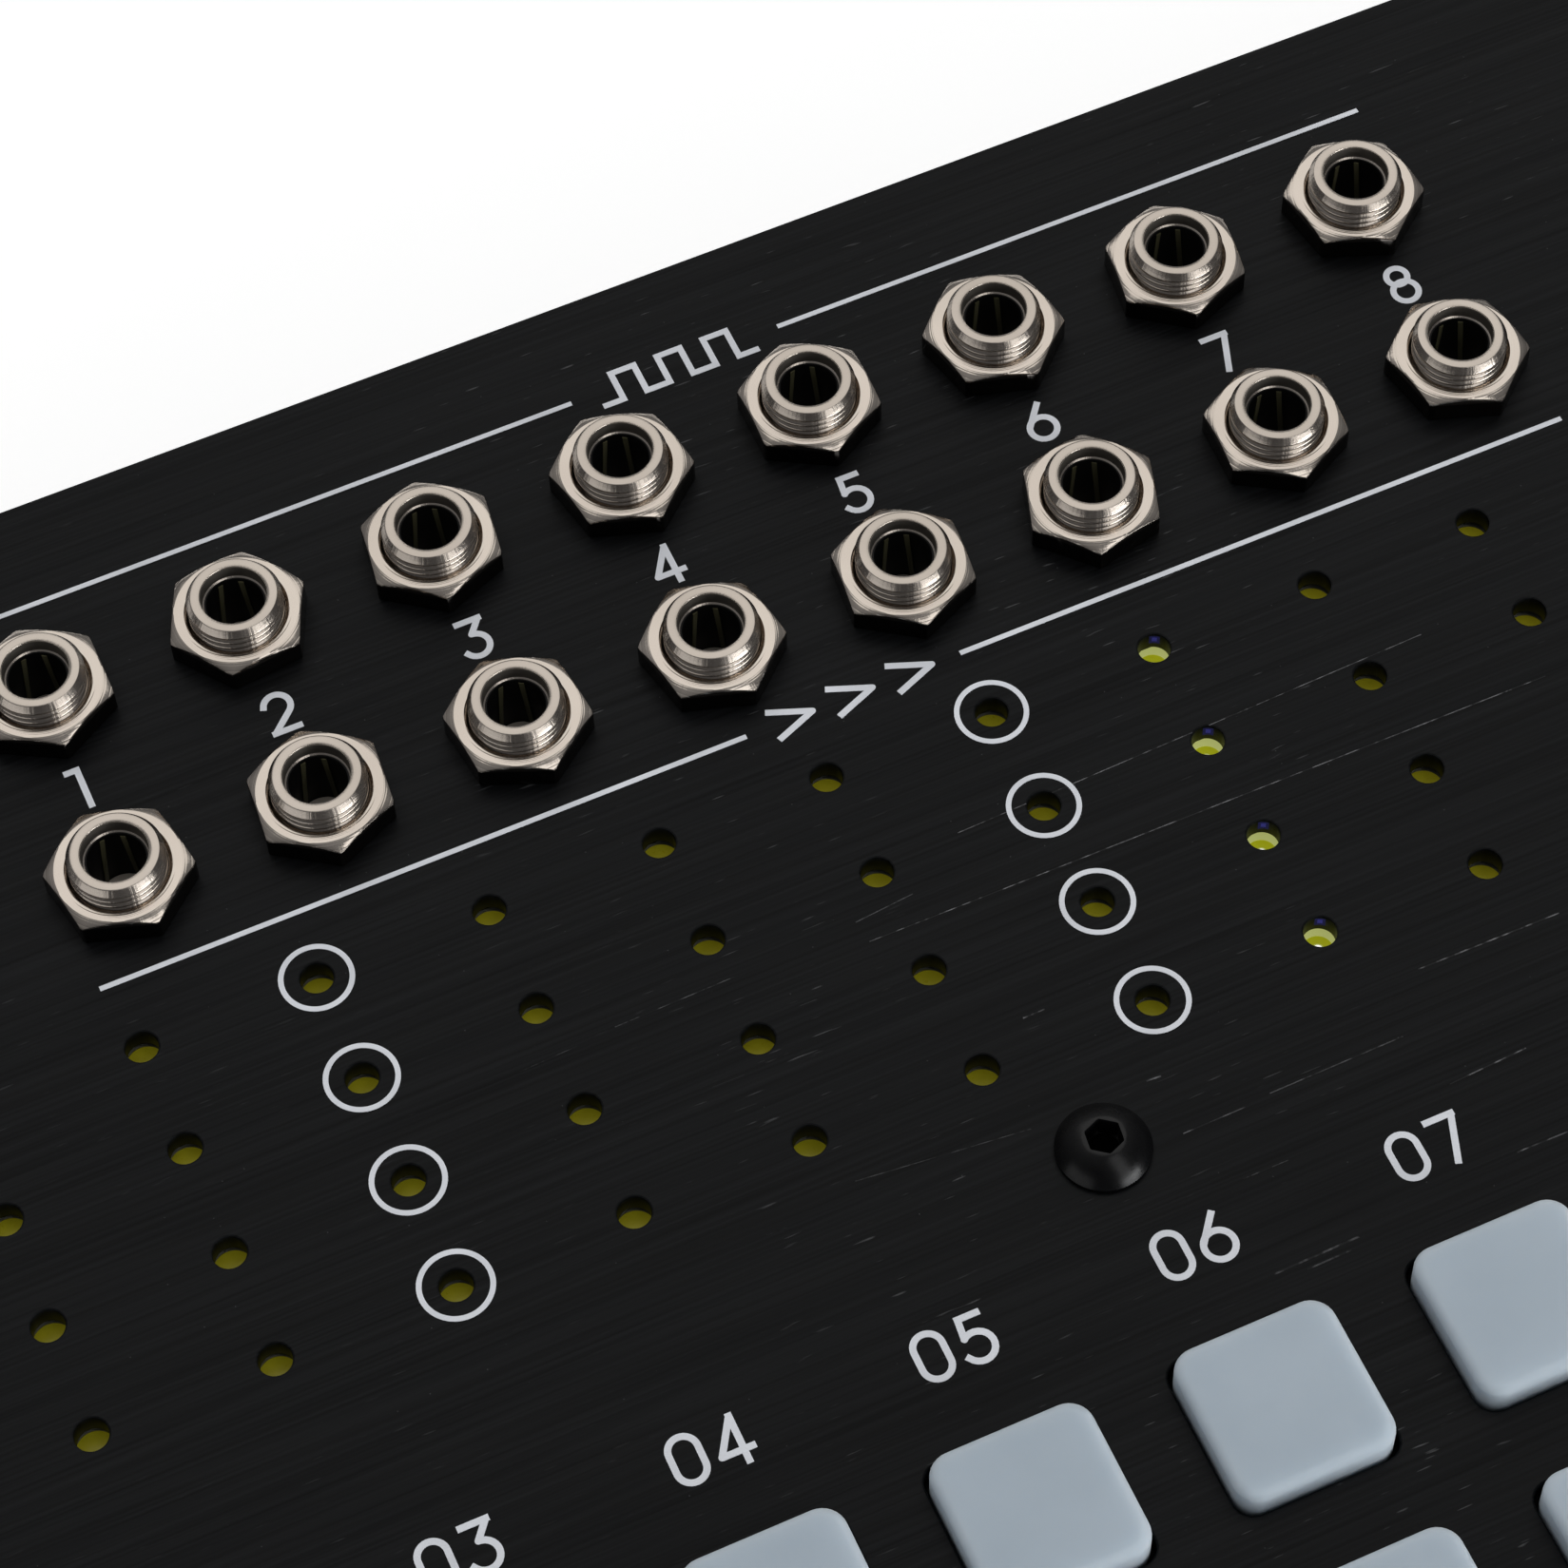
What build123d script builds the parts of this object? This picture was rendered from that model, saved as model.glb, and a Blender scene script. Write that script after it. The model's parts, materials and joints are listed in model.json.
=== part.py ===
"""Beat sequencer: a flat desk unit with patch sockets, a lamp matrix and soft keys.

Millimetres, +Z up, +X to the right, +Y to the rear, origin on the desk under the middle of the case.
"""

import os
from math import radians, sqrt, tan

from build123d import *

# Case
CASE_X = 196.0
CASE_Y = 122.0
CASE_H = 35.0
PANEL_T = 1.5
PANEL_EDGE = 0.25
BASE_T = 1.5
CORNER_R = 2.0
BEND_R = 1.5
FOOT_R = 5.0
FOOT_H = 3.0
FOOT_ROUND = 0.6
FOOT_IN_X = 14.0
FOOT_IN_Y = 15.0

# Lamps
LAMP_PITCH_X = 11.0
LAMP_PITCH_Y = 7.35
LAMP_FROM_LEFT = 16.0
LAMP_FROM_RIGHT = 15.0
LAMP_TO_JACKS = 11.0
LAMP_TO_SCREW = 7.6
LAMP_HOLE_R = 1.0
LAMP_X = 3.5
LAMP_Y = 2.8
LAMP_H = 1.9
LENS_R = 1.2
LENS_T = 0.9
LENS_GAP = 0.03

# Patch sockets
JACKS = 8
JACK_PITCH = 12.84
JACK_MID_X = -1.25
JACK_FROM_REAR = 14.56
JACK_ROW_PITCH = 14.18
JACK_X = 9.0
JACK_Y = 10.4
JACK_H = 9.1
JACK_BORE_R = 2.2
BUSH_R = 2.97
BUSH_BORE_R = 1.8
BUSH_RISE = 3.6
BUSH_SINK = 2.0
BUSH_FLANGE_R = 3.6
BUSH_FLANGE_T = 0.8
BUSH_LIP_OUT_R = 2.45
BUSH_LIP_IN_R = 2.07
BUSH_NOSE = 0.6
THREAD_PITCH = 0.5
THREAD_DEPTH = 0.28
BUSH_GAP = 0.08
NUT_AF = 8.0
NUT_T = 2.0
NUT_CROWN_R = 3.85
NUT_CHAMFER_DEG = 30.0
NUT_BORE_CHAMFER = 0.3
TRIGGER_NUT_TURNS = (30, 6, 22, 41, 29, 43, 22, 38)
ACCENT_NUT_TURNS = (41, 25, 37, 42, 24, 12, 27, 40)
PRONG_W = 0.3
PRONG_T = 0.25
PRONG_SPREAD = 1.7
PRONG_H = 6.2
PRONG_GAP = 0.15

# Keys
KEY_ROWS = 2
KEY_PITCH = 15.0
KEY_MID_X = 1.05
KEY_FROM_SIDE = 23.0
KEY_FROM_FRONT = 18.81
KEY_SIZE = 9.9
KEY_CORNER_R = 2.0
KEY_RISE = 1.8
KEY_ROUND = 0.4
KEY_GAP = 0.35
KEY_WEB = 1.8
KEY_FLANGE_T = 0.8
KEY_FLANGE_GAP = 0.2
KEY_FOOT_R = 2.5
KEY_FOOT_H = 0.4
KEY_TRAVEL = 1.0
KEY_SPARE = 0.1
PAD_R = 3.0
PAD_T = 0.1
MAT_GAP = 0.3
MAT_RIM = 3.0

# Boards
BOARD_T = 1.6
BOARD_GAP = 2.5
BOARD_TO_JACKS = 1.5
BOARD_CORNER_R = 1.0

# Screws and standoffs
SCREW_R = 1.5
SCREW_GAP = 0.1
THREAD_GAP = 0.05
SCREW_BITE = 4.0
BORE_SPARE = 0.4
HEAD_R = 2.85
HEAD_H = 1.65
HEAD_RIM = 0.3
HEAD_FLAT_R = 1.5
HEX_AF = 2.0
HEX_DEPTH = 1.1
STANDOFF_AF = 5.5
SPACER_R = 3.0
SCREW_MID_X = -0.9
SCREW_TO_KEYS = 18.8
SCREW_IN = 6.5

# Rear sockets
MIDI_FROM_RIGHT = 25.0
MIDI_PITCH = 23.0
MIDI_X = 10.0
MIDI_Y = 12.0
MIDI_Z = 8.0
MIDI_AXIS_DROP = 4.0
MIDI_BARREL_R = 3.0
MIDI_BORE_R = 1.8
MIDI_RECESS = 0.2
DC_FROM_LEFT = 24.0
DC_X = 9.0
DC_Y = 14.2
DC_Z = 11.0
DC_AXIS_DROP = 5.4
DC_BORE_R = 3.15
DC_DEPTH = 9.5
DC_PIN_R = 1.05
DC_PIN_L = 8.6
DC_PLUG_R = 4.8
WALL_GAP = 0.3

# Parts on the main board
CHIPS_FROM_FRONT = 37.0
CHIP_X = 12.0
CHIP_H = 1.4
CHIP_FROM_RIGHT = 70.0
DRIVER_X = 7.5
DRIVER_Y = 10.3
DRIVER_H = 2.3
DRIVERS_FROM_LEFT = (28.0, 52.0)
DRIVERS_FROM_RIGHT = (46.0, 24.0)
BUFFER_X = 10.0
BUFFER_Y = 5.3
BUFFER_H = 1.75
BUFFER_PITCH = 52.0
BUFFER_FROM_REAR = 49.0
CRYSTAL_L = 11.4
CRYSTAL_W = 4.8
CRYSTAL_H = 3.5
CRYSTAL_TO_CHIP = 20.0
REG_X = 6.5
REG_Y = 6.1
REG_H = 2.3
REG_FROM_LEFT = 26.0
REG_FROM_REAR = 27.0
CAP_COUNT = 3
CAP_R = 3.15
CAP_H = 7.7
CAP_PITCH = 8.0
CAP_FROM_LEFT = 16.0
CAP_FROM_REAR = 15.0
LINK_L = 25.4
LINK_W = 5.0
LINK_FROM_SIDE = 38.0
LINK_FROM_REAR = 42.0

# Levels, from the desk up
Z_UNDER = FOOT_H
Z_FLOOR = Z_UNDER + BASE_T
Z_TOP = Z_UNDER + CASE_H
Z_PANEL = Z_TOP - PANEL_T
PANEL_TO_BOARD = KEY_FLANGE_GAP + KEY_FLANGE_T + KEY_FOOT_H + KEY_TRAVEL + KEY_SPARE + PAD_T
Z_CONTROL = Z_PANEL - PANEL_TO_BOARD
Z_CONTROL_LOW = Z_CONTROL - BOARD_T
Z_MAIN = Z_PANEL - JACK_H
Z_MAIN_LOW = Z_MAIN - BOARD_T


def places(room, pitch):
    """How many places at a pitch fit in a room, with one at its start."""
    return 1 + int(room / pitch + 0.001)


# Places
LEFT, RIGHT, FRONT, REAR = -CASE_X / 2, CASE_X / 2, -CASE_Y / 2, CASE_Y / 2
REAR_WALL_IN = REAR - BASE_T
INNER_X = CASE_X - 2 * BASE_T
TRIGGER_Y = REAR - JACK_FROM_REAR
ACCENT_Y = TRIGGER_Y - JACK_ROW_PITCH
KEY_COLS = places(CASE_X - 2 * KEY_FROM_SIDE, KEY_PITCH)
KEY_REAR_Y = FRONT + KEY_FROM_FRONT + KEY_PITCH * (KEY_ROWS - 1)
KEY_FLANGE = KEY_PITCH - KEY_WEB - 2 * MAT_GAP
SCREW_MID_Y = KEY_REAR_Y + SCREW_TO_KEYS
LAMP_FIRST_X = LEFT + LAMP_FROM_LEFT
LAMP_FIRST_Y = ACCENT_Y - LAMP_TO_JACKS
LAMP_COLS = places(RIGHT - LAMP_FROM_RIGHT - LAMP_FIRST_X, LAMP_PITCH_X)
LAMP_ROWS = places(LAMP_FIRST_Y - SCREW_MID_Y - LAMP_TO_SCREW, LAMP_PITCH_Y)
LIT_COL = LAMP_COLS // 2 + 1
MIDI_IN_X = RIGHT - MIDI_FROM_RIGHT
MIDI_OUT_X = MIDI_IN_X - MIDI_PITCH
DC_AT_X = LEFT + DC_FROM_LEFT
DC_FACE_Y = REAR_WALL_IN - WALL_GAP
CHIP_AT = (RIGHT - CHIP_FROM_RIGHT, FRONT + CHIPS_FROM_FRONT)
CRYSTAL_AT = (CHIP_AT[0] - CRYSTAL_TO_CHIP, CHIP_AT[1])
REG_AT = (LEFT + REG_FROM_LEFT, REAR - REG_FROM_REAR)
DRIVER_XS = [LEFT + d for d in DRIVERS_FROM_LEFT] + [RIGHT - d for d in DRIVERS_FROM_RIGHT]
DRIVER_POINTS = [(x, CHIP_AT[1]) for x in DRIVER_XS]
BUFFER_POINTS = [(JACK_MID_X + s * BUFFER_PITCH / 2, REAR - BUFFER_FROM_REAR) for s in (-1, 1)]
CAP_POINTS = [(LEFT + CAP_FROM_LEFT, REAR - CAP_FROM_REAR - CAP_PITCH * i) for i in range(CAP_COUNT)]
LINK_POINTS = [(s * (RIGHT - LINK_FROM_SIDE), REAR - LINK_FROM_REAR) for s in (-1, 1)]
HOLE_R = SCREW_R + SCREW_GAP
SIDE_X = RIGHT - SCREW_IN
SIDE_Y = REAR - SCREW_IN
REAR_POINTS = [(-SIDE_X, SIDE_Y), (SIDE_X, SIDE_Y)]
FRONT_POINTS = [(-SIDE_X, -SIDE_Y), (SIDE_X, -SIDE_Y)]
MIDDLE_POINTS = [(-SIDE_X, SCREW_MID_Y), (SCREW_MID_X, SCREW_MID_Y), (SIDE_X, SCREW_MID_Y)]
BOARD_POINTS = FRONT_POINTS + MIDDLE_POINTS
ALL_POINTS = REAR_POINTS + BOARD_POINTS
LAMP_POINTS = [
    [(LAMP_FIRST_X + LAMP_PITCH_X * c, LAMP_FIRST_Y - LAMP_PITCH_Y * r) for c in range(LAMP_COLS)]
    for r in range(LAMP_ROWS)
]
KEY_POINTS = [
    [(KEY_MID_X + KEY_PITCH * (c - (KEY_COLS - 1) / 2), KEY_REAR_Y - KEY_PITCH * r) for c in range(KEY_COLS)]
    for r in range(KEY_ROWS)
]
JACK_XS = [JACK_MID_X + JACK_PITCH * (i - (JACKS - 1) / 2) for i in range(JACKS)]

UP = (Align.CENTER, Align.CENTER, Align.MIN)
DOWN = (Align.CENTER, Align.CENTER, Align.MAX)


def spread(solid, points, z=0.0):
    """The same solid at each point, as a group of separate solids."""
    return Compound([Pos(x, y, z) * solid for x, y in points])


def slab(sketch, low, high):
    """A flat sketch raised into a plate between two levels."""
    return Pos(0, 0, low) * extrude(sketch, high - low)


def ring_of(points):
    """A body of revolution about Z from (radius, height) points."""
    outline = make_face(Polyline(*[(r, 0, z) for r, z in points], close=True))
    return revolve(outline, Axis.Z)


def square(size, corner):
    """A square with round corners."""
    return RectangleRounded(size, size, corner)


def hexagon(across_flats, turn=0.0):
    """A hexagon by its width across flats, a corner on +X before the turn."""
    return RegularPolygon(across_flats / sqrt(3), 6, rotation=turn)


def top_panel():
    """The face plate with a hole for each lamp, socket, key and screw."""
    holes = [Pos(x, y) * Circle(LAMP_HOLE_R) for row in LAMP_POINTS for x, y in row]
    holes += [Pos(x, y) * Circle(BUSH_R + SCREW_GAP) for y in (ACCENT_Y, TRIGGER_Y) for x in JACK_XS]
    key_hole = square(KEY_SIZE + 2 * KEY_GAP, KEY_CORNER_R - KEY_GAP)
    holes += [Pos(x, y) * key_hole for row in KEY_POINTS for x, y in row]
    holes += [Pos(x, y) * Circle(HOLE_R) for x, y in ALL_POINTS]
    outline = RectangleRounded(CASE_X, CASE_Y, CORNER_R)
    blank = slab(outline, Z_PANEL, Z_TOP)
    rim = blank.faces().sort_by(Axis.Z)[-1].edges()
    blank = chamfer(rim, PANEL_EDGE)
    cuts = [slab(h, Z_PANEL - 1, Z_TOP + 1) for h in holes]
    return blank - cuts


def base_shell():
    """The folded tray, open at the rear, with holes for the base screws."""
    outer = slab(RectangleRounded(CASE_X, CASE_Y, CORNER_R), Z_UNDER, Z_PANEL)
    outer = fillet(outer.faces().sort_by(Axis.Z)[0].edges(), BEND_R)
    hollow = slab(RectangleRounded(INNER_X, CASE_Y - 2 * BASE_T, CORNER_R / 2), Z_FLOOR, Z_PANEL + 1)
    rear_gap = Pos(0, 0, Z_FLOOR) * Box(INNER_X, CASE_Y, CASE_H, align=(Align.CENTER, Align.MIN, Align.MIN))
    holes = [Pos(x, y, Z_UNDER - 1) * Cylinder(HOLE_R, BASE_T + 2, align=UP) for x, y in ALL_POINTS]
    return outer - [hollow, rear_gap] - holes


def rear_plate():
    """The flat rear wall between the tray's sides, with holes for the rear sockets."""
    plate = Box(INNER_X, BASE_T, Z_PANEL - Z_FLOOR, align=(Align.CENTER, Align.MAX, Align.MIN))
    holes = [rear_hole(x, MIDI_AXIS_DROP, MIDI_BARREL_R + WALL_GAP) for x in (MIDI_IN_X, MIDI_OUT_X)]
    holes += [rear_hole(DC_AT_X, DC_AXIS_DROP, DC_PLUG_R)]
    return Pos(0, REAR, Z_FLOOR) * plate - holes


def rear_hole(x, drop, r):
    """A round cutter through the rear wall."""
    return Pos(x, REAR, Z_MAIN_LOW - drop) * Rot(90, 0, 0) * Cylinder(r, 3 * BASE_T)


def rubber_feet():
    """Four stick-on feet."""
    foot = Cylinder(FOOT_R, FOOT_H, align=UP)
    foot = fillet(foot.faces().sort_by(Axis.Z)[0].edges(), FOOT_ROUND)
    x, y = RIGHT - FOOT_IN_X, REAR - FOOT_IN_Y
    return spread(foot, [(sx * x, sy * y) for sx in (-1, 1) for sy in (-1, 1)])


def button_screw(length):
    """A button-head screw with a hex socket, its head standing on z = 0."""
    with BuildLine() as side:
        Polyline((0, 0, -length), (SCREW_R, 0, -length), (SCREW_R, 0, 0), (HEAD_R, 0, 0), (HEAD_R, 0, HEAD_RIM))
        crown = (HEAD_R * 0.86, 0, HEAD_RIM + (HEAD_H - HEAD_RIM) * 0.62)
        ThreePointArc((HEAD_R, 0, HEAD_RIM), crown, (HEAD_FLAT_R, 0, HEAD_H))
        Polyline((HEAD_FLAT_R, 0, HEAD_H), (0, 0, HEAD_H), (0, 0, -length))
    screw = revolve(make_face(side.line), Axis.Z)
    return screw - slab(hexagon(HEX_AF), HEAD_H - HEX_DEPTH, HEAD_H + 1)


def panel_screws():
    """Screws through the panel: short ones at the rear, long ones through the control board."""
    short = button_screw(PANEL_T + SCREW_BITE)
    long = button_screw(PANEL_T + PANEL_TO_BOARD + BOARD_T + SCREW_BITE)
    solids = [Pos(x, y, Z_TOP) * short for x, y in REAR_POINTS]
    solids += [Pos(x, y, Z_TOP) * long for x, y in BOARD_POINTS]
    return Compound(solids)


def base_screws():
    """Screws through the floor into the lower standoffs."""
    screw = Rot(180, 0, 0) * button_screw(BASE_T + SCREW_BITE)
    return spread(screw, ALL_POINTS, Z_UNDER)


def panel_spacers():
    """Sleeves that keep the control board off the panel."""
    sleeve = Cylinder(SPACER_R, PANEL_TO_BOARD, align=UP) - Cylinder(HOLE_R, 3 * PANEL_TO_BOARD)
    return spread(sleeve, BOARD_POINTS, Z_CONTROL)


def lower_standoffs():
    """Hex standoffs from the floor to the main board, bored through."""
    bore = Cylinder(SCREW_R + THREAD_GAP, 3 * CASE_H)
    return spread(slab(hexagon(STANDOFF_AF), Z_FLOOR, Z_MAIN_LOW) - bore, ALL_POINTS)


def upper_standoff(height):
    """A hex standoff on the main board, with a stud down through it and a bore from above."""
    stud = Cylinder(SCREW_R, BOARD_T + SCREW_BITE, align=DOWN)
    bore = Pos(0, 0, height) * Cylinder(SCREW_R + THREAD_GAP, SCREW_BITE + BORE_SPARE, align=DOWN)
    return slab(hexagon(STANDOFF_AF), 0, height) + stud - bore


def upper_standoffs():
    """Standoffs on the main board: tall ones to the panel, low ones to the control board."""
    tall = upper_standoff(Z_PANEL - Z_MAIN)
    low = upper_standoff(Z_CONTROL_LOW - Z_MAIN)
    solids = [Pos(x, y, Z_MAIN) * tall for x, y in REAR_POINTS]
    solids += [Pos(x, y, Z_MAIN) * low for x, y in BOARD_POINTS]
    return Compound(solids)


def board(front, rear, low, points):
    """A circuit board from front to rear, with screw holes."""
    width = CASE_X - 2 * (BASE_T + BOARD_GAP)
    plate = Pos(0, (front + rear) / 2) * RectangleRounded(width, rear - front, BOARD_CORNER_R)
    holes = [Pos(x, y) * Circle(HOLE_R) for x, y in points]
    return slab(plate - holes, low, low + BOARD_T)


def control_board():
    """The board under the panel that carries the lamps and the key contacts."""
    front = FRONT + BASE_T + BOARD_GAP
    rear = ACCENT_Y - JACK_Y / 2 - BOARD_TO_JACKS
    return board(front, rear, Z_CONTROL_LOW, BOARD_POINTS)


def main_board():
    """The lower board that carries the sockets and the chips."""
    reach = REAR_WALL_IN - BOARD_GAP
    return board(-reach, reach, Z_MAIN_LOW, ALL_POINTS)


def lamp_housing():
    """A lamp package with a round cup for its lens."""
    cup = Pos(0, 0, LAMP_H) * Cylinder(LENS_R + LENS_GAP, LENS_T, align=DOWN)
    return Box(LAMP_X, LAMP_Y, LAMP_H, align=UP) - cup


def lamp_lens():
    """The lens that fills a lamp's cup."""
    return Pos(0, 0, LAMP_H - LENS_T) * Cylinder(LENS_R, LENS_T, align=UP)


def key():
    """A soft key: crown, flange under the panel and contact foot."""
    flange_top = Z_PANEL - KEY_FLANGE_GAP
    flange_low = flange_top - KEY_FLANGE_T
    crown = slab(square(KEY_SIZE, KEY_CORNER_R), flange_low, Z_TOP + KEY_RISE)
    crown = fillet(crown.faces().sort_by(Axis.Z)[-1].edges(), KEY_ROUND)
    flange = slab(square(KEY_FLANGE, KEY_CORNER_R), flange_low, flange_top)
    foot = Pos(0, 0, flange_low) * Cylinder(KEY_FOOT_R, KEY_FOOT_H, align=DOWN)
    return crown + flange + foot


def keypad_mat():
    """The silicone sheet between panel and control board, open around each key."""
    opening = KEY_FLANGE + 2 * MAT_GAP
    reach_x = KEY_PITCH * (KEY_COLS - 1) + opening + 2 * MAT_RIM
    reach_y = KEY_PITCH * (KEY_ROWS - 1) + opening + 2 * MAT_RIM
    mid_y = KEY_REAR_Y - KEY_PITCH * (KEY_ROWS - 1) / 2
    sheet = Pos(KEY_MID_X, mid_y) * RectangleRounded(reach_x, reach_y, KEY_CORNER_R)
    holes = [Pos(x, y) * square(opening, KEY_CORNER_R) for row in KEY_POINTS for x, y in row]
    return slab(sheet - holes, Z_CONTROL, Z_PANEL)


def key_contact_pads():
    """Thin contact discs on the control board, one under each key."""
    points = [p for row in KEY_POINTS for p in row]
    return spread(Cylinder(PAD_R, PAD_T, align=UP), points, Z_CONTROL)


def jack_housing():
    """A socket body on the main board, bored for the plug and seated for the bushing."""
    seat_low = JACK_H - BUSH_SINK
    seat_lip = seat_low + BUSH_FLANGE_T + BUSH_GAP
    flange_r, neck_r = BUSH_FLANGE_R + BUSH_GAP, BUSH_R + BUSH_GAP
    cut = ring_of([
        (0, -1), (JACK_BORE_R, -1), (JACK_BORE_R, seat_low), (flange_r, seat_low),
        (flange_r, seat_lip), (neck_r, seat_lip), (neck_r, JACK_H + 1), (0, JACK_H + 1),
    ])
    side = JACK_BORE_R + PRONG_T + 2 * PRONG_GAP
    slot_x = PRONG_SPREAD + PRONG_W + 2 * PRONG_GAP
    slot_top = PRONG_H + PRONG_GAP
    slot = Box(slot_x, side, slot_top + 1, align=(Align.CENTER, Align.MIN, Align.MIN))
    return Box(JACK_X, JACK_Y, JACK_H, align=UP) - cut - Pos(0, 0, -1) * slot


def jack_spring():
    """A forked contact spring at the rear of a socket's bore."""
    width = PRONG_SPREAD + PRONG_W
    y = JACK_BORE_R + PRONG_GAP
    low = (Align.CENTER, Align.MIN, Align.MIN)
    sheet = Box(width, PRONG_T, PRONG_H, align=low)
    middle = Box(PRONG_SPREAD - PRONG_W, 3 * PRONG_T, PRONG_H, align=low)
    return Pos(0, y, 0) * (sheet - Pos(0, -PRONG_T, PRONG_T) * middle)


def jack_bushing():
    """A threaded sleeve from its flange in the housing up to its chamfered nose."""
    top, low = Z_TOP + BUSH_RISE, Z_PANEL - BUSH_SINK
    nose, start = top - BUSH_NOSE, low + BUSH_FLANGE_T
    turns = int((nose - start) / THREAD_PITCH)
    root = BUSH_R - THREAD_DEPTH
    edge = [(BUSH_BORE_R, low), (BUSH_FLANGE_R, low), (BUSH_FLANGE_R, start), (root, start)]
    for i in range(turns):
        z = nose - THREAD_PITCH * (turns - i)
        edge += [(root, z + THREAD_PITCH * 0.1), (BUSH_R, z + THREAD_PITCH * 0.5)]
        edge += [(BUSH_R, z + THREAD_PITCH * 0.6)]
    edge += [(root, nose), (BUSH_R, nose + THREAD_PITCH * 0.4), (BUSH_LIP_OUT_R, top)]
    edge += [(BUSH_LIP_IN_R, top), (BUSH_BORE_R, top - (BUSH_LIP_IN_R - BUSH_BORE_R))]
    return ring_of(edge)


def jack_nut(turn):
    """A hex nut with a chamfered crown, standing on z = 0."""
    corner = NUT_AF / sqrt(3) + 0.1
    shoulder = NUT_T - (corner - NUT_CROWN_R) * tan(radians(NUT_CHAMFER_DEG))
    crown = ring_of([(0, 0), (corner, 0), (corner, shoulder), (NUT_CROWN_R, NUT_T), (0, NUT_T)])
    bore_r = BUSH_R + BUSH_GAP
    flare = bore_r + NUT_BORE_CHAMFER
    bore = ring_of([
        (0, -1), (bore_r, -1), (bore_r, NUT_T - NUT_BORE_CHAMFER), (flare, NUT_T), (flare, NUT_T + 1), (0, NUT_T + 1)
    ])
    return slab(hexagon(NUT_AF, turn), 0, NUT_T) & crown - bore


def nuts(y, turns):
    """A row of nuts, each left where it was tightened."""
    return Compound([Pos(x, y, Z_TOP) * jack_nut(turn) for x, turn in zip(JACK_XS, turns)])


def row_of(y):
    """The points of one row of sockets."""
    return [(x, y) for x in JACK_XS]


def midi_socket(x):
    """A small plug socket under the main board, its barrel in the rear plate."""
    body = Box(MIDI_X, MIDI_Y, MIDI_Z, align=(Align.CENTER, Align.MAX, Align.MAX))
    body = Pos(0, REAR_WALL_IN, Z_MAIN_LOW) * body
    facing = Pos(0, REAR_WALL_IN, Z_MAIN_LOW - MIDI_AXIS_DROP) * Rot(-90, 0, 0)
    body += facing * Cylinder(MIDI_BARREL_R, BASE_T - MIDI_RECESS, align=UP)
    return Pos(x, 0, 0) * (body - facing * Cylinder(MIDI_BORE_R, 3 * MIDI_Y))


def dc_inlet():
    """A barrel power socket under the main board, behind a hole in the rear plate."""
    body = Box(DC_X, DC_Y, DC_Z, align=(Align.CENTER, Align.MAX, Align.MAX))
    body = Pos(0, DC_FACE_Y, Z_MAIN_LOW) * body
    facing = Pos(0, DC_FACE_Y, Z_MAIN_LOW - DC_AXIS_DROP) * Rot(-90, 0, 0)
    return Pos(DC_AT_X, 0, 0) * (body - facing * Cylinder(DC_BORE_R, DC_DEPTH, align=DOWN))


def dc_inlet_pin():
    """The centre pin of the power socket, standing on the floor of its bore."""
    pin = fillet(Cylinder(DC_PIN_R, DC_PIN_L, align=UP).faces().sort_by(Axis.Z)[-1].edges(), DC_PIN_R / 2)
    facing = Pos(DC_AT_X, DC_FACE_Y - DC_DEPTH, Z_MAIN_LOW - DC_AXIS_DROP) * Rot(-90, 0, 0)
    return facing * pin


def on_main(solid, points):
    """Parts that stand on the main board."""
    return spread(solid, points, Z_MAIN)


def crystal():
    """A metal can with round ends."""
    return extrude(SlotOverall(CRYSTAL_L, CRYSTAL_W), CRYSTAL_H)


def capacitor():
    """An electrolytic can with a round top edge."""
    can = Cylinder(CAP_R, CAP_H, align=UP)
    return fillet(can.faces().sort_by(Axis.Z)[-1].edges(), CAP_R / 8)


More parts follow.
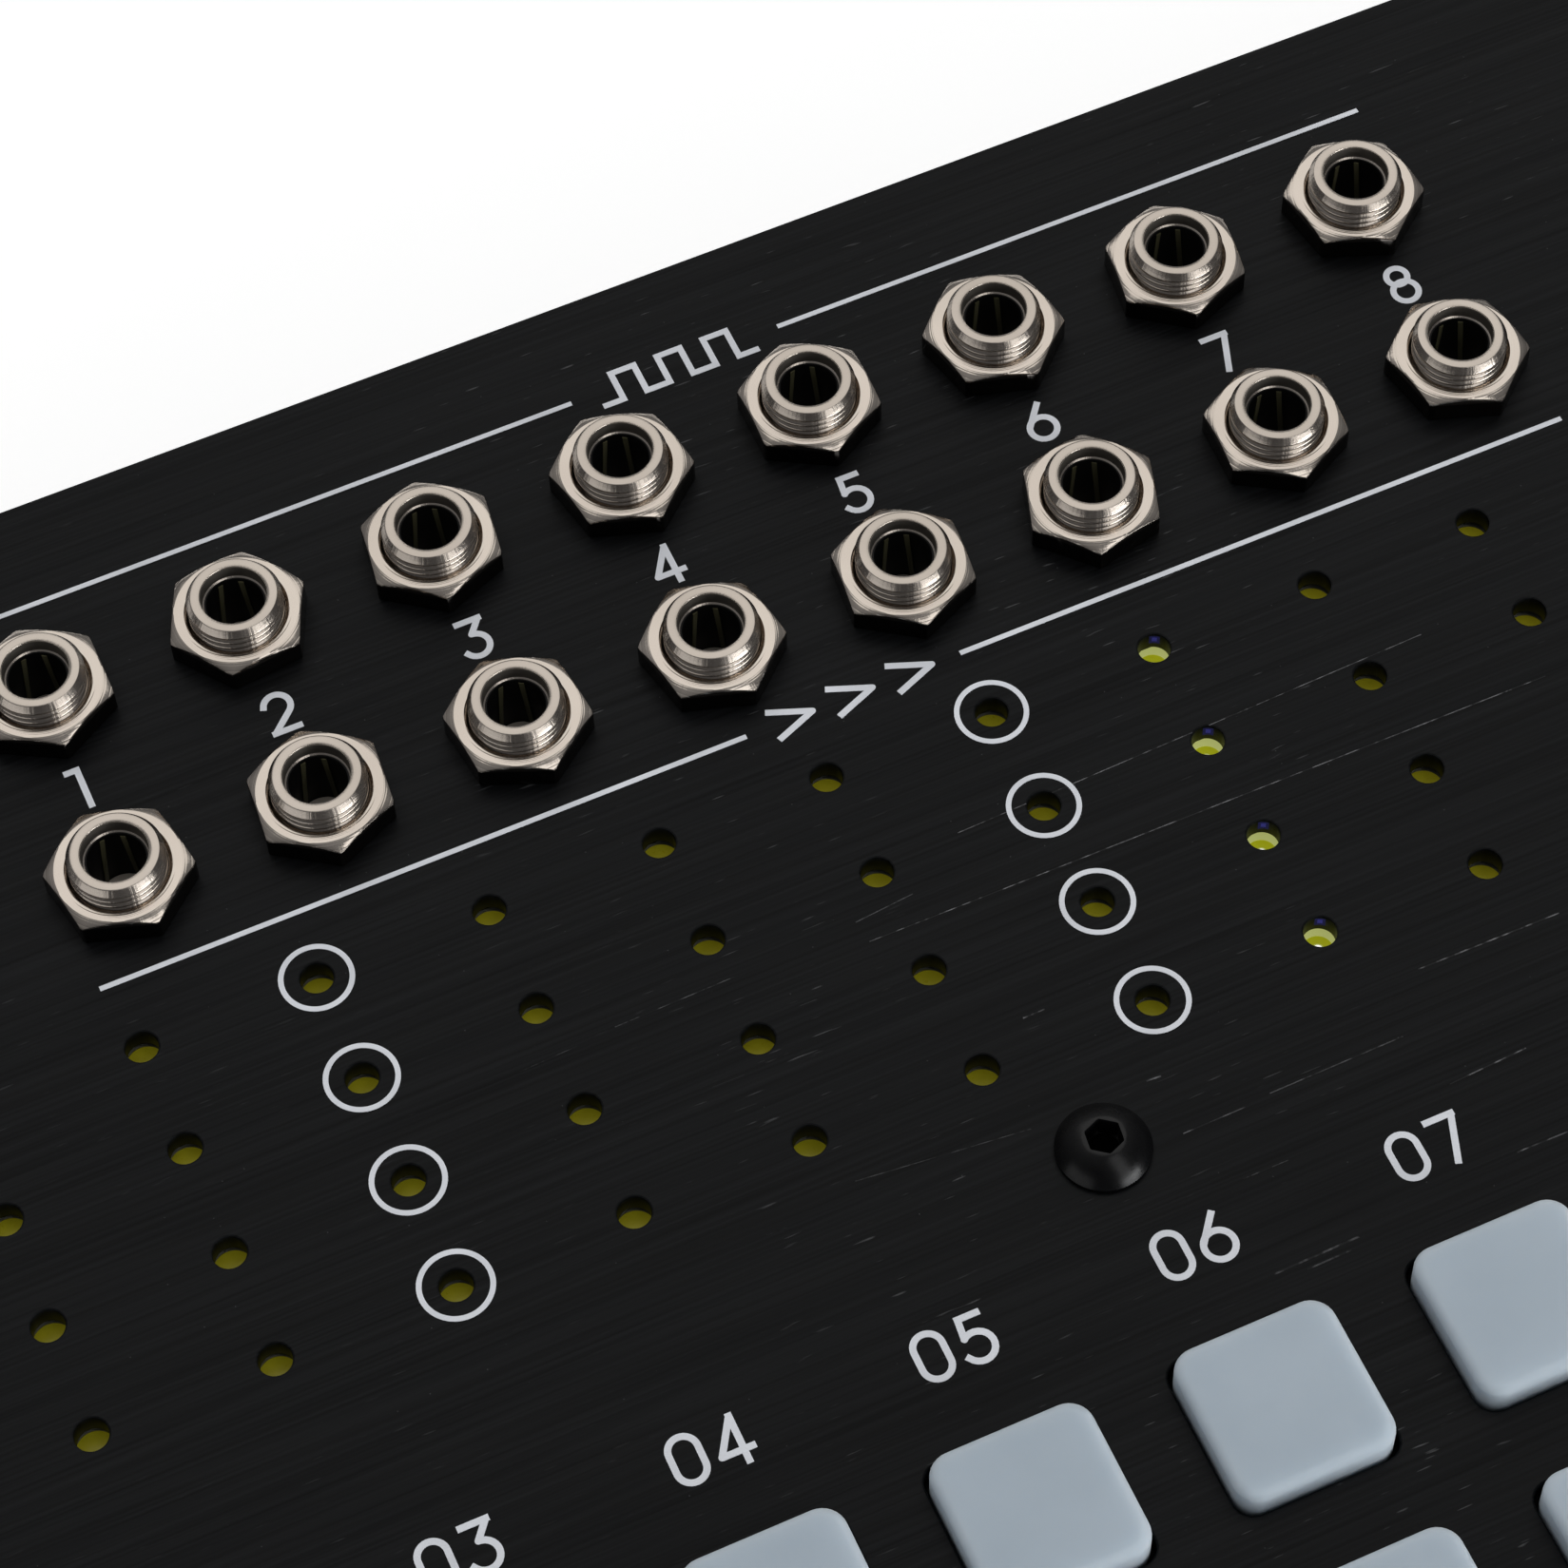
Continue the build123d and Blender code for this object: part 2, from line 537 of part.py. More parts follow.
def build():
    """Every node of the assembly by name."""
    dark = [p for row in LAMP_POINTS for c, p in enumerate(row) if c != LIT_COL]
    lit = [row[LIT_COL] for row in LAMP_POINTS]
    both_rows = row_of(TRIGGER_Y) + row_of(ACCENT_Y)
    nodes = {
        "top_panel": top_panel(),
        "base_shell": base_shell(),
        "rear_plate": rear_plate(),
        "rubber_feet": rubber_feet(),
        "panel_screws": panel_screws(),
        "base_screws": base_screws(),
        "panel_spacers": panel_spacers(),
        "upper_standoffs": upper_standoffs(),
        "lower_standoffs": lower_standoffs(),
        "control_board": control_board(),
        "main_board": main_board(),
        "lamp_housings": spread(lamp_housing(), dark + lit, Z_CONTROL),
        "lamp_lenses": spread(lamp_lens(), dark, Z_CONTROL),
        "lamp_lenses_lit": spread(lamp_lens(), lit, Z_CONTROL),
        "keypad_mat": keypad_mat(),
        "key_contact_pads": key_contact_pads(),
        "trigger_jack_housings": on_main(jack_housing(), row_of(TRIGGER_Y)),
        "accent_jack_housings": on_main(jack_housing(), row_of(ACCENT_Y)),
        "trigger_jack_bushings": spread(jack_bushing(), row_of(TRIGGER_Y)),
        "accent_jack_bushings": spread(jack_bushing(), row_of(ACCENT_Y)),
        "trigger_jack_nuts": nuts(TRIGGER_Y, TRIGGER_NUT_TURNS),
        "accent_jack_nuts": nuts(ACCENT_Y, ACCENT_NUT_TURNS),
        "jack_contact_springs": on_main(jack_spring(), both_rows),
        "midi_in_socket": midi_socket(MIDI_IN_X),
        "midi_out_socket": midi_socket(MIDI_OUT_X),
        "dc_inlet": dc_inlet(),
        "dc_inlet_pin": dc_inlet_pin(),
        "microcontroller": on_main(Box(CHIP_X, CHIP_X, CHIP_H, align=UP), [CHIP_AT]),
        "lamp_driver_chips": on_main(
            Box(DRIVER_X, DRIVER_Y, DRIVER_H, align=UP), DRIVER_POINTS
        ),
        "output_buffer_chips": on_main(
            Box(BUFFER_X, BUFFER_Y, BUFFER_H, align=UP), BUFFER_POINTS
        ),
        "crystal": on_main(crystal(), [CRYSTAL_AT]),
        "voltage_regulator": on_main(Box(REG_X, REG_Y, REG_H, align=UP), [REG_AT]),
        "capacitors": on_main(capacitor(), CAP_POINTS),
        "board_link_headers": on_main(
            Box(LINK_L, LINK_W, Z_CONTROL_LOW - Z_MAIN, align=UP), LINK_POINTS
        ),
    }
    one_key = key()
    for r, row in enumerate(KEY_POINTS):
        for c, (x, y) in enumerate(row):
            nodes[f"key_{r + 1}_{c + 1:02d}"] = Pos(x, y, 0) * one_key
    return nodes


os.makedirs("parts", exist_ok=True)
for name, shape in build().items():
    export_step(shape, f"parts/{name}.step")
    print(name, len(shape.solids()), round(shape.volume, 2))
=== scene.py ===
"""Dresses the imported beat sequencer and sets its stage.

Lengths are in millimetres of the shared frame and are turned into metres where a mesh is made.
Only the stage is set out in metres.
"""

import json
from math import cos, pi, radians, sin, sqrt, tan

import bpy
from bpy.props import FloatProperty, FloatVectorProperty, IntProperty, PointerProperty
from bpy.types import Operator, Panel, PropertyGroup
from mathutils import Matrix, Vector


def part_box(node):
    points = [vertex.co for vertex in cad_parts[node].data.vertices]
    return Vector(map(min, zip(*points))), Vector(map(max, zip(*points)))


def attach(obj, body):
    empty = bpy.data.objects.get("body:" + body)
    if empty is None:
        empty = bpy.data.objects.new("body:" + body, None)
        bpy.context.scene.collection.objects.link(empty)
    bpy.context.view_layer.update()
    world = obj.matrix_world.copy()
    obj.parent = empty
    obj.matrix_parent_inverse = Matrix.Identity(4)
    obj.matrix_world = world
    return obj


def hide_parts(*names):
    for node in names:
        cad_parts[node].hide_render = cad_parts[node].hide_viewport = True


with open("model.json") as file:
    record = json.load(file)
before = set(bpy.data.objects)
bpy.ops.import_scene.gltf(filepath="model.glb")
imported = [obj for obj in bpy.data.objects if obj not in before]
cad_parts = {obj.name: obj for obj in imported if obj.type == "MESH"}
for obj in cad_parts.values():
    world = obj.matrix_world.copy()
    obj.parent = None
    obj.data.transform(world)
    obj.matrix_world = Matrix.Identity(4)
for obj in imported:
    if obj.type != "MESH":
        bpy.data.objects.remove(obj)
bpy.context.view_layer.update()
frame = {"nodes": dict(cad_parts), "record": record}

bl_info = {
    "name": "Beat sequencer",
    "version": (1, 0, 0),
    "blender": (4, 5, 0),
    "location": "View3D > Sidebar > Sequencer",
    "description": "Dresses the packed beat sequencer and sets its stage",
    "category": "Object",
}

MM = 0.001
NODES = frame["nodes"]
MOUNTS = {m["name"]: m for m in frame["record"]["mounts"]}
KEYS = sorted(n for n in NODES if n.startswith("key_") and n[4].isdigit())
ROWS = ("trigger", "accent")

SCRATCHES = (
    # start x, y, end x, y, half width in mm, strength
    (0.5, 14.35, 32.2, 15.25, 0.027, 0.60),
    (-7.4, 9.76, 37.6, 9.38, 0.029, 0.72),
    (-7.6, 11.30, -3.7, 11.65, 0.030, 0.40),
    (-1.4, 1.30, 0.0, 1.30, 0.045, 0.55),
    (3.3, -5.45, 4.2, -5.52, 0.050, 0.60),
    (3.7, -9.42, 7.7, -9.37, 0.035, 0.35),
    (9.4, -9.17, 18.1, -9.07, 0.035, 0.30),
    (21.0, -5.48, 30.3, -5.60, 0.040, 0.60),
    (19.1, -12.99, 24.2, -12.74, 0.040, 0.60),
    (5.5, -13.46, 8.4, -13.47, 0.030, 0.30),
    (4.4, -19.57, 9.8, -19.48, 0.060, 0.40),
    (6.2, -20.10, 9.0, -20.05, 0.050, 0.30),
    (-14.7, -4.29, -4.1, -5.47, 0.030, 0.18),
    (20.5, -18.50, 23.8, -18.55, 0.040, 0.40),
    (-23.3, 10.79, -15.6, 10.94, 0.030, 0.25),
    (-29.5, 10.39, -25.8, 10.56, 0.030, 0.22),
    (-19.7, 4.74, -17.7, 4.72, 0.030, 0.30),
)


def heights(node):
    """The foot and the top of a node's box in millimetres."""
    return tuple(v[2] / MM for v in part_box(node))


PANEL_LOW, PANEL_TOP = heights("top_panel")
NUT_TOP = heights("trigger_jack_nuts")[1]
CASE_X, CASE_Y = (2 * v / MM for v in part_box("top_panel")[1][:2])


def middle_of(node):
    """The middle of a node's box in millimetres."""
    low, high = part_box(node)
    return tuple((a + b) / 2 / MM for a, b in zip(low, high))


def sockets(row):
    """The places of one row of patch sockets."""
    return [tuple(v / MM for v in MOUNTS[f"{row}_socket_{i + 1}"]["pos_m"][:2]) for i in range(8)]


def length(name, text, default, low=0.0, high=500.0):
    """A size in millimetres that a user would change."""
    return FloatProperty(name=name, description=text, default=default, min=low, max=high, precision=3)


def factor(name, text, default):
    """A share from 0 to 1."""
    return FloatProperty(name=name, description=text, default=default, min=0.0, max=1.0, subtype="FACTOR")


def colour(name, text, default):
    """A linear colour."""
    return FloatVectorProperty(
        name=name, description=text, default=default, size=3, min=0.0, max=1.0, subtype="COLOR"
    )


def amount(name, text, default, low=0.0):
    """A power, a strength or another plain number."""
    return FloatProperty(name=name, description=text, default=default, min=low)


def whole(name, text, default):
    """A whole number of pieces."""
    return IntProperty(name=name, description=text, default=default, min=1)


class PanelLook(PropertyGroup):
    """Face plate: sizes of its holes and its anodised finish."""

    edge: length("Edge", "Softening of the plate's edges, in mm", 0.12)
    corner: length("Corner", "Corner radius of the plate, in mm", 2.0)
    lamp_hole: length("Lamp hole", "Radius of a lamp hole, in mm", 1.0)
    socket_hole: length("Socket hole", "Radius of a socket hole, in mm", 3.07)
    screw_hole: length("Screw hole", "Radius of a screw hole, in mm", 1.6)
    key_gap: length("Key gap", "Gap around each key, in mm", 0.15)
    key_hole_corner: length("Key hole corner", "Corner radius of a key's hole, in mm", 1.2)
    black: colour("Anodising", "Colour of the anodised plate", (0.0006, 0.0008, 0.0010))
    streak: colour("Streak", "Colour of the lighter brushed streaks", (0.0047, 0.0053, 0.0060))
    scratch: colour("Scratch", "Colour where the finish is scratched", (0.30, 0.30, 0.31))
    rough: factor("Roughness", "Roughness of the brushed face", 0.42)


class PrintLook(PropertyGroup):
    """Printed marks on the face plate."""

    ink: colour("Ink", "Colour of the print", (0.80, 0.825, 0.875))
    raise_by: length("Thickness", "Thickness of the ink, in mm", 0.03)
    stroke: length("Stroke", "Width of the rules and rings, in mm", 0.33)
    number_stroke: length("Number stroke", "Width of a number's strokes, in mm", 0.41)
    ring: length("Ring", "Radius of a ring around a lamp, in mm", 2.12)
    rule_near: length("Front rule", "Distance of the front rule from the middle, in mm", 25.93)
    rule_far: length("Rear rule", "Distance of the rear rule from the middle, in mm", 53.5)
    rule_start: length("Rule start", "Left end of the rules, left of the middle, in mm", 49.93)
    rule_end: length("Rule end", "Right end of the rules, right of the middle, in mm", 47.78)
    gap_start: length("Gap start", "Left end of the gap in a rule, left of the middle, in mm", 8.22)
    gap_end: length("Gap end", "Right end of the gap in a rule, right of the middle, in mm", 6.07)
    number: length("Number height", "Height of the socket numbers, in mm", 2.7)
    key_number: length("Key number height", "Height of the key numbers, in mm", 2.9)
    key_number_gap: length("Key number gap", "Distance of a key number from its key's middle, in mm", 9.62)


class SocketLook(PropertyGroup):
    """Patch sockets: thread, nut and nickel finish."""

    thread: length("Thread", "Radius over the thread, in mm", 2.97)
    thread_pitch: length("Thread pitch", "Rise of one turn, in mm", 0.5)
    thread_depth: length("Thread depth", "Depth of the thread, in mm", 0.24)
    bore: length("Bore", "Radius of the plug's bore, in mm", 1.8)
    lip_out: length("Lip outside", "Outer radius of the end face, in mm", 2.7)
    lip_in: length("Lip inside", "Inner radius of the end face, in mm", 2.09)
    mouth: length("Mouth", "Depth of the metal mouth above the black liner, in mm", 0.9)
    nose: length("Nose", "Height of the chamfered end, in mm", 0.45)
    nut_flats: length("Nut", "Width of the nut across flats, in mm", 8.0)
    nut_crown: length("Nut crown", "Radius of the nut's flat face, in mm", 3.85)
    nut_flare: length("Nut flare", "Width of the chamfer at the nut's bore, in mm", 0.2)
    nickel: colour("Nickel", "Colour of the nickel plate", (0.55, 0.49, 0.43))
    shade: colour("Nickel shade", "Colour of the duller patches", (0.48, 0.425, 0.37))
    # Painted shade: the nuts' sides below the crown and the bushings down in the panel turn to this colour.
    dark: colour("Nickel dark", "Colour of the nuts' unlit sides", (0.10, 0.09, 0.08))
    rough: factor("Roughness", "Roughness of the plated faces", 0.16)


class LampLook(PropertyGroup):
    """Lamp matrix: grid and colours."""

    columns: whole("Columns", "Lamps in a row", 16)
    rows: whole("Rows", "Rows of lamps", 4)
    beat: whole("Beat", "Columns from one ring to the next", 4)
    lens: colour("Lens", "Colour of a lens that is off", (0.42, 0.38, 0.015))
    lens_deep: colour("Lens shade", "Colour at the edge of a lens that is off", (0.30, 0.27, 0.010))
    # Painted light: a glow on lenses whose lamps are off.
    lens_glow: amount("Lens glow", "Painted glow of a lens that is off", 0.14)
    glow: colour("Glow", "Colour of a lit lens", (0.32, 0.335, 0.006))
    # Painted light: the lamp's light on the package, shown as a glow.
    glow_rim: colour("Glow rim", "Painted glow on the package around a lit lens", (0.40, 0.43, 0.14))
    glow_core: colour("Glow core", "Colour in the middle of a lit lens", (1.0, 1.0, 0.94))
    glow_level: amount("Glow level", "Strength of a lit lens", 0.8)
    # Painted reflection: the blue die mirrored on the hole's wall, shown as a glow.
    glint: colour("Glint", "Painted reflection of the lamp's blue die on the hole's wall", (0.020, 0.020, 0.13))


class KeyLook(PropertyGroup):
    """Soft keys."""

    size: length("Size", "Width of a key, in mm", 9.9)
    corner: length("Corner", "Corner radius of a key, in mm", 1.5)
    round_edge: length("Edge", "Radius of a key's top edge, in mm", 0.6)
    crown: length("Crown", "Height of the swell of a key's top, in mm", 0.06)
    flange: length("Flange", "Width of the flange under the panel, in mm", 12.6)
    silicone: colour("Silicone", "Colour of the keys", (0.485, 0.555, 0.62))
    silicone_deep: colour("Silicone shade", "Colour of the cloudier patches", (0.455, 0.525, 0.59))
    # Painted shade: the silicone turns this dark below the panel's top, where the gap lies in shadow.
    gap_shade: colour("Gap", "Painted shade on the silicone down in the gap", (0.002, 0.003, 0.003))
    rough: factor("Roughness", "Roughness of the silicone", 0.6)


class StageLook(PropertyGroup):
    """Floor, light and camera."""

    floor: colour("Floor", "Colour of the floor", (0.86, 0.86, 0.86))
    zenith: colour("Zenith", "Colour of the light from straight above", (0.42, 0.425, 0.435))
    horizon: colour("Horizon", "Colour of the light from the sides", (0.08, 0.08, 0.083))
    lift: factor("Floor lift", "White that the floor adds to what the camera and mirrors see", 0.48)
    far_lift: factor("Far lift", "White that the far floor adds to what the camera sees", 0.3)
    overhead: amount("Overhead", "Power of the soft light above the rear, in watts", 5.6)
    window: amount("Window", "Power of the tall light at the front, in watts", 1.5)
    strip: amount("Strip", "Power of the low light at the front right, in watts", 3.4)
    fill: amount("Fill", "Power of the weak light at the left, in watts", 0.9)
    lens: amount("Lens", "Focal length of the camera on a 36 mm frame", 110.52, 1.0)


GROUPS = {
    "sequencer_panel": PanelLook,
    "sequencer_print": PrintLook,
    "sequencer_socket": SocketLook,
    "sequencer_lamp": LampLook,
    "sequencer_key": KeyLook,
    "sequencer_stage": StageLook,
}


def look(name):
    """The settings of one part of the object."""
    return getattr(bpy.context.scene, f"sequencer_{name}")


def rgba(c):
    """A colour with full alpha."""
    return (c[0], c[1], c[2], 1.0)


# Shared node groups

def put(tree, kind, at=(0, 0), **values):
    """Adds a node and sets its properties."""
    n = tree.nodes.new(kind)
    n.location = at
    for key, value in values.items():
        setattr(n, key, value)
    return n


def feed(tree, socket, value):
    """Sets a socket to a plain value, or links another socket to it."""
    if isinstance(value, (int, float, tuple)):
        socket.default_value = value
    else:
        tree.links.new(value, socket)


def sum_of(tree, operation, at, *terms):
    """A math node over plain numbers and sockets."""
    n = put(tree, "ShaderNodeMath", at, operation=operation)
    for socket, term in zip(n.inputs, terms):
        feed(tree, socket, term)
    return n.outputs[0]


def vector_of(tree, operation, at, *terms):
    """A vector math node over plain vectors and sockets. Returns its outputs."""
    n = put(tree, "ShaderNodeVectorMath", at, operation=operation)
    for socket, term in zip(n.inputs, terms):
        feed(tree, socket, term)
    return n.outputs


def own_place(tree, at):
    """The object's own coordinates."""
    return put(tree, "ShaderNodeTexCoord", at).outputs["Object"]


def axes_of(tree, vector, at):
    """The X, Y and Z of a vector."""
    n = put(tree, "ShaderNodeSeparateXYZ", at)
    tree.links.new(vector, n.inputs[0])
    return n.outputs


def noise(tree, vector, scale, detail, at):
    """Noise over a vector, as a value."""
    n = put(tree, "ShaderNodeTexNoise", at)
    n.inputs["Detail"].default_value = detail
    tree.links.new(vector, n.inputs["Vector"])
    feed(tree, n.inputs["Scale"], scale)
    return n.outputs["Fac"]


def start_group(name, inputs, outputs):
    """A new shader node group with named number sockets. Returns it, what comes in and what goes out."""
    group = bpy.data.node_groups.new(name, "ShaderNodeTree")
    for label, default in inputs.items():
        socket = group.interface.new_socket(label, in_out="INPUT", socket_type="NodeSocketFloat")
        socket.default_value = default
    for label in outputs:
        group.interface.new_socket(label, in_out="OUTPUT", socket_type="NodeSocketFloat")
    given = put(group, "NodeGroupInput", (-900, 0)).outputs
    return group, given, put(group, "NodeGroupOutput", (700, 0)).inputs


def make_brushed_grain():
    """Long fine streaks along X: a value for colour, roughness and height."""
    group, given, result = start_group("Brushed grain", {"Along": 45.0, "Across": 5200.0}, ("Fine", "Broad"))
    place = own_place(group, (-900, 300))
    for label, share, detail, row in (("Fine", 1.0, 2.0, 200), ("Broad", 0.3, 3.0, -200)):
        across = sum_of(group, "MULTIPLY", (-700, row - 120), given["Across"], share)
        scale = put(group, "ShaderNodeCombineXYZ", (-500, row - 60))
        for axis, value in zip("XYZ", (given["Along"], across, given["Along"])):
            group.links.new(value, scale.inputs[axis])
        stretched = vector_of(group, "MULTIPLY", (-300, row), place, scale.outputs[0])[0]
        group.links.new(noise(group, stretched, 1.0, detail, (-100, row)), result[label])
    return group


def make_scratches():
    """Long scratches at their places and short ones at random, broken up, as a mask."""
    group, given, result = start_group("Scratches", {"Break": 1300.0, "Short": 0.22}, ("Mask",))
    place = own_place(group, (-1700, 300))
    x, y, z = axes_of(group, place, (-1500, 300))
    long = 0.0
    for k, (x0, y0, x1, y1, half, strength) in enumerate(SCRATCHES):
        row, slope = 900 - 160 * k, (y1 - y0) / (x1 - x0)
        line = sum_of(group, "MULTIPLY_ADD", (-1200, row), x, slope, (y0 - slope * x0) * MM)
        near = sum_of(group, "COMPARE", (-1000, row), y, line, half * MM)
        within = sum_of(group, "COMPARE", (-800, row), x, (x0 + x1) / 2 * MM, (x1 - x0) / 2 * MM)
        inside = sum_of(group, "MULTIPLY", (-600, row), near, within)
        long = sum_of(group, "MULTIPLY_ADD", (-400, row), inside, strength, long)
    gaps = noise(group, place, given["Break"], 2.0, (-600, 1200))
    broken = spread(group, gaps, 0.06, 1.0, (-400, 1200), 0.44, 0.70)
    long = sum_of(group, "MULTIPLY", (-100, 600), long, broken)
    drawn_out = vector_of(group, "MULTIPLY", (-600, 1500), place, (480.0, 4600.0, 480.0))[0]
    marks = noise(group, drawn_out, 1.0, 1.0, (-400, 1500))
    short = spread(group, marks, 0.0, 1.0, (-200, 1500), 0.72, 0.82)
    areas = noise(group, place, 45.0, 1.0, (-400, 1800))
    worn = spread(group, areas, 0.0, 1.0, (-200, 1800), 0.42, 0.58)
    used = spread(group, x, 0.25, 1.0, (-200, 2100), -38.0 * MM, -8.0 * MM)
    for k, share in enumerate((worn, used, given["Short"])):
        short = sum_of(group, "MULTIPLY", (80 * k, 1500), short, share)
    face = sum_of(group, "GREATER_THAN", (200, 1000), z, (PANEL_TOP - 0.02) * MM)
    both = sum_of(group, "MAXIMUM", (300, 800), long, short)
    group.links.new(sum_of(group, "MULTIPLY", (500, 800), both, face), result["Mask"])
    return group


def make_speckle():
    """Cloudy tone, fine grain and small dust specks."""
    wanted = ("Cloud", "Grain", "Dust")
    group, given, result = start_group("Speckle", {"Scale": 600.0, "Specks": 0.05}, wanted)
    place = own_place(group, (-900, 300))
    wide = sum_of(group, "MULTIPLY", (-700, 100), given["Scale"], 0.12)
    group.links.new(noise(group, place, wide, 3.0, (-400, 250)), result["Cloud"])
    group.links.new(noise(group, place, given["Scale"], 4.0, (-400, 0)), result["Grain"])
    cells = put(group, "ShaderNodeTexVoronoi", (-400, -250))
    cells.inputs["Scale"].default_value = 700.0
    group.links.new(place, cells.inputs["Vector"])
    specks = sum_of(group, "LESS_THAN", (-150, -250), cells.outputs["Distance"], given["Specks"])
    group.links.new(specks, result["Dust"])
    return group


def make_turned_rings():
    """Fine lathe lines round each socket's own axis, and spokes across them."""
    group, given, result = start_group("Turned rings", {"Rings": 5200.0, "Spokes": 16.0}, ("Ring", "Spoke"))
    (x0, y0), (x1, _) = sockets("accent")[:2]
    pitch_x, pitch_y = x1 - x0, sockets("trigger")[0][1] - y0
    place = axes_of(group, own_place(group, (-1500, 0)), (-1300, 0))
    from_axis = put(group, "ShaderNodeCombineXYZ", (-700, 0))
    for axis, first, pitch, row in (("X", x0, pitch_x, 200), ("Y", y0, pitch_y, -200)):
        high, low = (first + pitch / 2) * MM, (first - pitch / 2) * MM
        own = sum_of(group, "WRAP", (-900, row), place[axis], high, low)
        offset = sum_of(group, "SUBTRACT", (-800, row), own, first * MM)
        group.links.new(offset, from_axis.inputs[axis])
    radius = vector_of(group, "LENGTH", (-500, 200), from_axis.outputs[0])["Value"]
    lines = put(group, "ShaderNodeTexNoise", (-100, 200), noise_dimensions="1D")
    lines.inputs["Scale"].default_value = 1.0
    lines.inputs["Detail"].default_value = 2.0
    group.links.new(sum_of(group, "MULTIPLY", (-300, 200), radius, given["Rings"]), lines.inputs["W"])
    group.links.new(lines.outputs["Fac"], result["Ring"])
    way = vector_of(group, "NORMALIZE", (-500, -200), from_axis.outputs[0])[0]
    group.links.new(noise(group, way, given["Spokes"], 2.0, (-100, -200)), result["Spoke"])
    return group


SHARED = {
    "Brushed grain": make_brushed_grain,
    "Scratches": make_scratches,
    "Speckle": make_speckle,
    "Turned rings": make_turned_rings,
}


def effect(tree, name, at=(-800, 0), **values):
    """Places a shared node group in a material, with its own values."""
    group = bpy.data.node_groups.get(name) or SHARED[name]()
    n = put(tree, "ShaderNodeGroup", at, node_tree=group)
    for label, value in values.items():
        n.inputs[label].default_value = value
    return n


# Materials

def finish(name):
    """A new material. Returns it with its tree and its shader."""
    m = bpy.data.materials.new(name)
    m.use_nodes = True
    return m, m.node_tree, m.node_tree.nodes["Principled BSDF"]


def between(tree, value, low, high, at):
    """A colour from low to high by a value."""
    mix = put(tree, "ShaderNodeMix", at, data_type="RGBA")
    mix.inputs["A"].default_value = rgba(low)
    mix.inputs["B"].default_value = rgba(high)
    tree.links.new(value, mix.inputs["Factor"])
    return mix.outputs["Result"]


def over(tree, mask, under, top, at):
    """A plain colour laid over another by a mask."""
    mix = put(tree, "ShaderNodeMix", at, data_type="RGBA")
    mix.inputs["B"].default_value = rgba(top)
    tree.links.new(mask, mix.inputs["Factor"])
    tree.links.new(under, mix.inputs["A"])
    return mix.outputs["Result"]


def spread(tree, value, low, high, at, start=0.0, end=1.0):
    """A value taken from one range to another."""
    n = put(tree, "ShaderNodeMapRange", at)
    n.inputs["From Min"].default_value = start
    n.inputs["From Max"].default_value = end
    n.inputs["To Min"].default_value = low
    n.inputs["To Max"].default_value = high
    tree.links.new(value, n.inputs["Value"])
    return n.outputs["Result"]


def bumps(tree, shader, height, strength, depth, at=(-250, -350)):
    """Small relief on the shader's normal."""
    n = put(tree, "ShaderNodeBump", at)
    n.inputs["Strength"].default_value = strength
    n.inputs["Distance"].default_value = depth * MM
    tree.links.new(height, n.inputs["Height"])
    tree.links.new(n.outputs["Normal"], shader.inputs["Normal"])


def cloudy(tree, grain, low, high, specks=0.02, start=0.3):
    """A cloudy tone between two colours. Returns the speckle's outputs and the tone."""
    tone = effect(tree, "Speckle", (-900, 0), Scale=grain, Specks=specks).outputs
    mix = spread(tree, tone["Cloud"], 0.0, 1.0, (-700, 200), start, 0.7)
    return tone, between(tree, mix, low, high, (-500, 200))


def roughen(tree, shader, value, low, high):
    """Roughness from low to high by a value."""
    tree.links.new(spread(tree, value, low, high, (-500, 0)), shader.inputs["Roughness"])


def depth_mask(tree, low, high):
    """A mask that is full below one height and gone above another, in millimetres."""
    z = axes_of(tree, own_place(tree, (-900, 500)), (-700, 500))["Z"]
    return spread(tree, z, 1.0, 0.0, (-500, 500), low * MM, high * MM)


def anodised():
    """Black anodised aluminium with a fine brushed grain, scratches and specks."""
    p = look("panel")
    m, tree, shader = finish("Black anodised")
    grain = effect(tree, "Brushed grain", (-900, 200))
    marks = effect(tree, "Scratches", (-900, -50))
    dust = effect(tree, "Speckle", (-900, -300), Scale=240.0, Specks=0.03)
    lines = spread(tree, grain.outputs["Fine"], 0.0, 1.0, (-700, 250), 0.3, 0.7)
    base = between(tree, lines, p.black, p.streak, (-500, 250))
    base = over(tree, marks.outputs["Mask"], base, p.scratch, (-320, 250))
    faint = spread(tree, dust.outputs["Dust"], 0.0, 0.1, (-500, -200))
    tree.links.new(over(tree, faint, base, p.scratch, (-150, 250)), shader.inputs["Base Color"])
    rough = spread(tree, grain.outputs["Broad"], p.rough - 0.08, p.rough + 0.08, (-500, 0), 0.3, 0.7)
    tree.links.new(rough, shader.inputs["Roughness"])
    shader.inputs["Specular IOR Level"].default_value = 0.09
    bumps(tree, shader, grain.outputs["Fine"], 0.3, 0.015)
    return m


def nickel(name, shine, rough, lines, spokes, shaded_below):
    """Warm nickel with lathe lines, fine spokes and dull patches, with painted shade below a height in
    millimetres.
    """
    p, fade = look("socket"), 0.12
    m, tree, shader = finish(name)
    bright, dull = (tuple(shine * c for c in tint) for tint in (p.nickel, p.shade))
    tone, base = cloudy(tree, 900.0, bright, dull, start=0.35)
    # Painted shade: below the given height the nickel fades to the dark colour.
    base = over(tree, depth_mask(tree, shaded_below - fade, shaded_below), base, p.dark, (-300, 300))
    tree.links.new(base, shader.inputs["Base Color"])
    roughen(tree, shader, tone["Grain"], rough - 0.06, rough + 0.08)
    shader.inputs["Metallic"].default_value = 1.0
    turned = effect(tree, "Turned rings", (-900, -200)).outputs
    relief = sum_of(tree, "MULTIPLY_ADD", (-500, -350), turned["Spoke"], spokes / lines, turned["Ring"])
    bumps(tree, shader, relief, 1.0, lines)
    return m


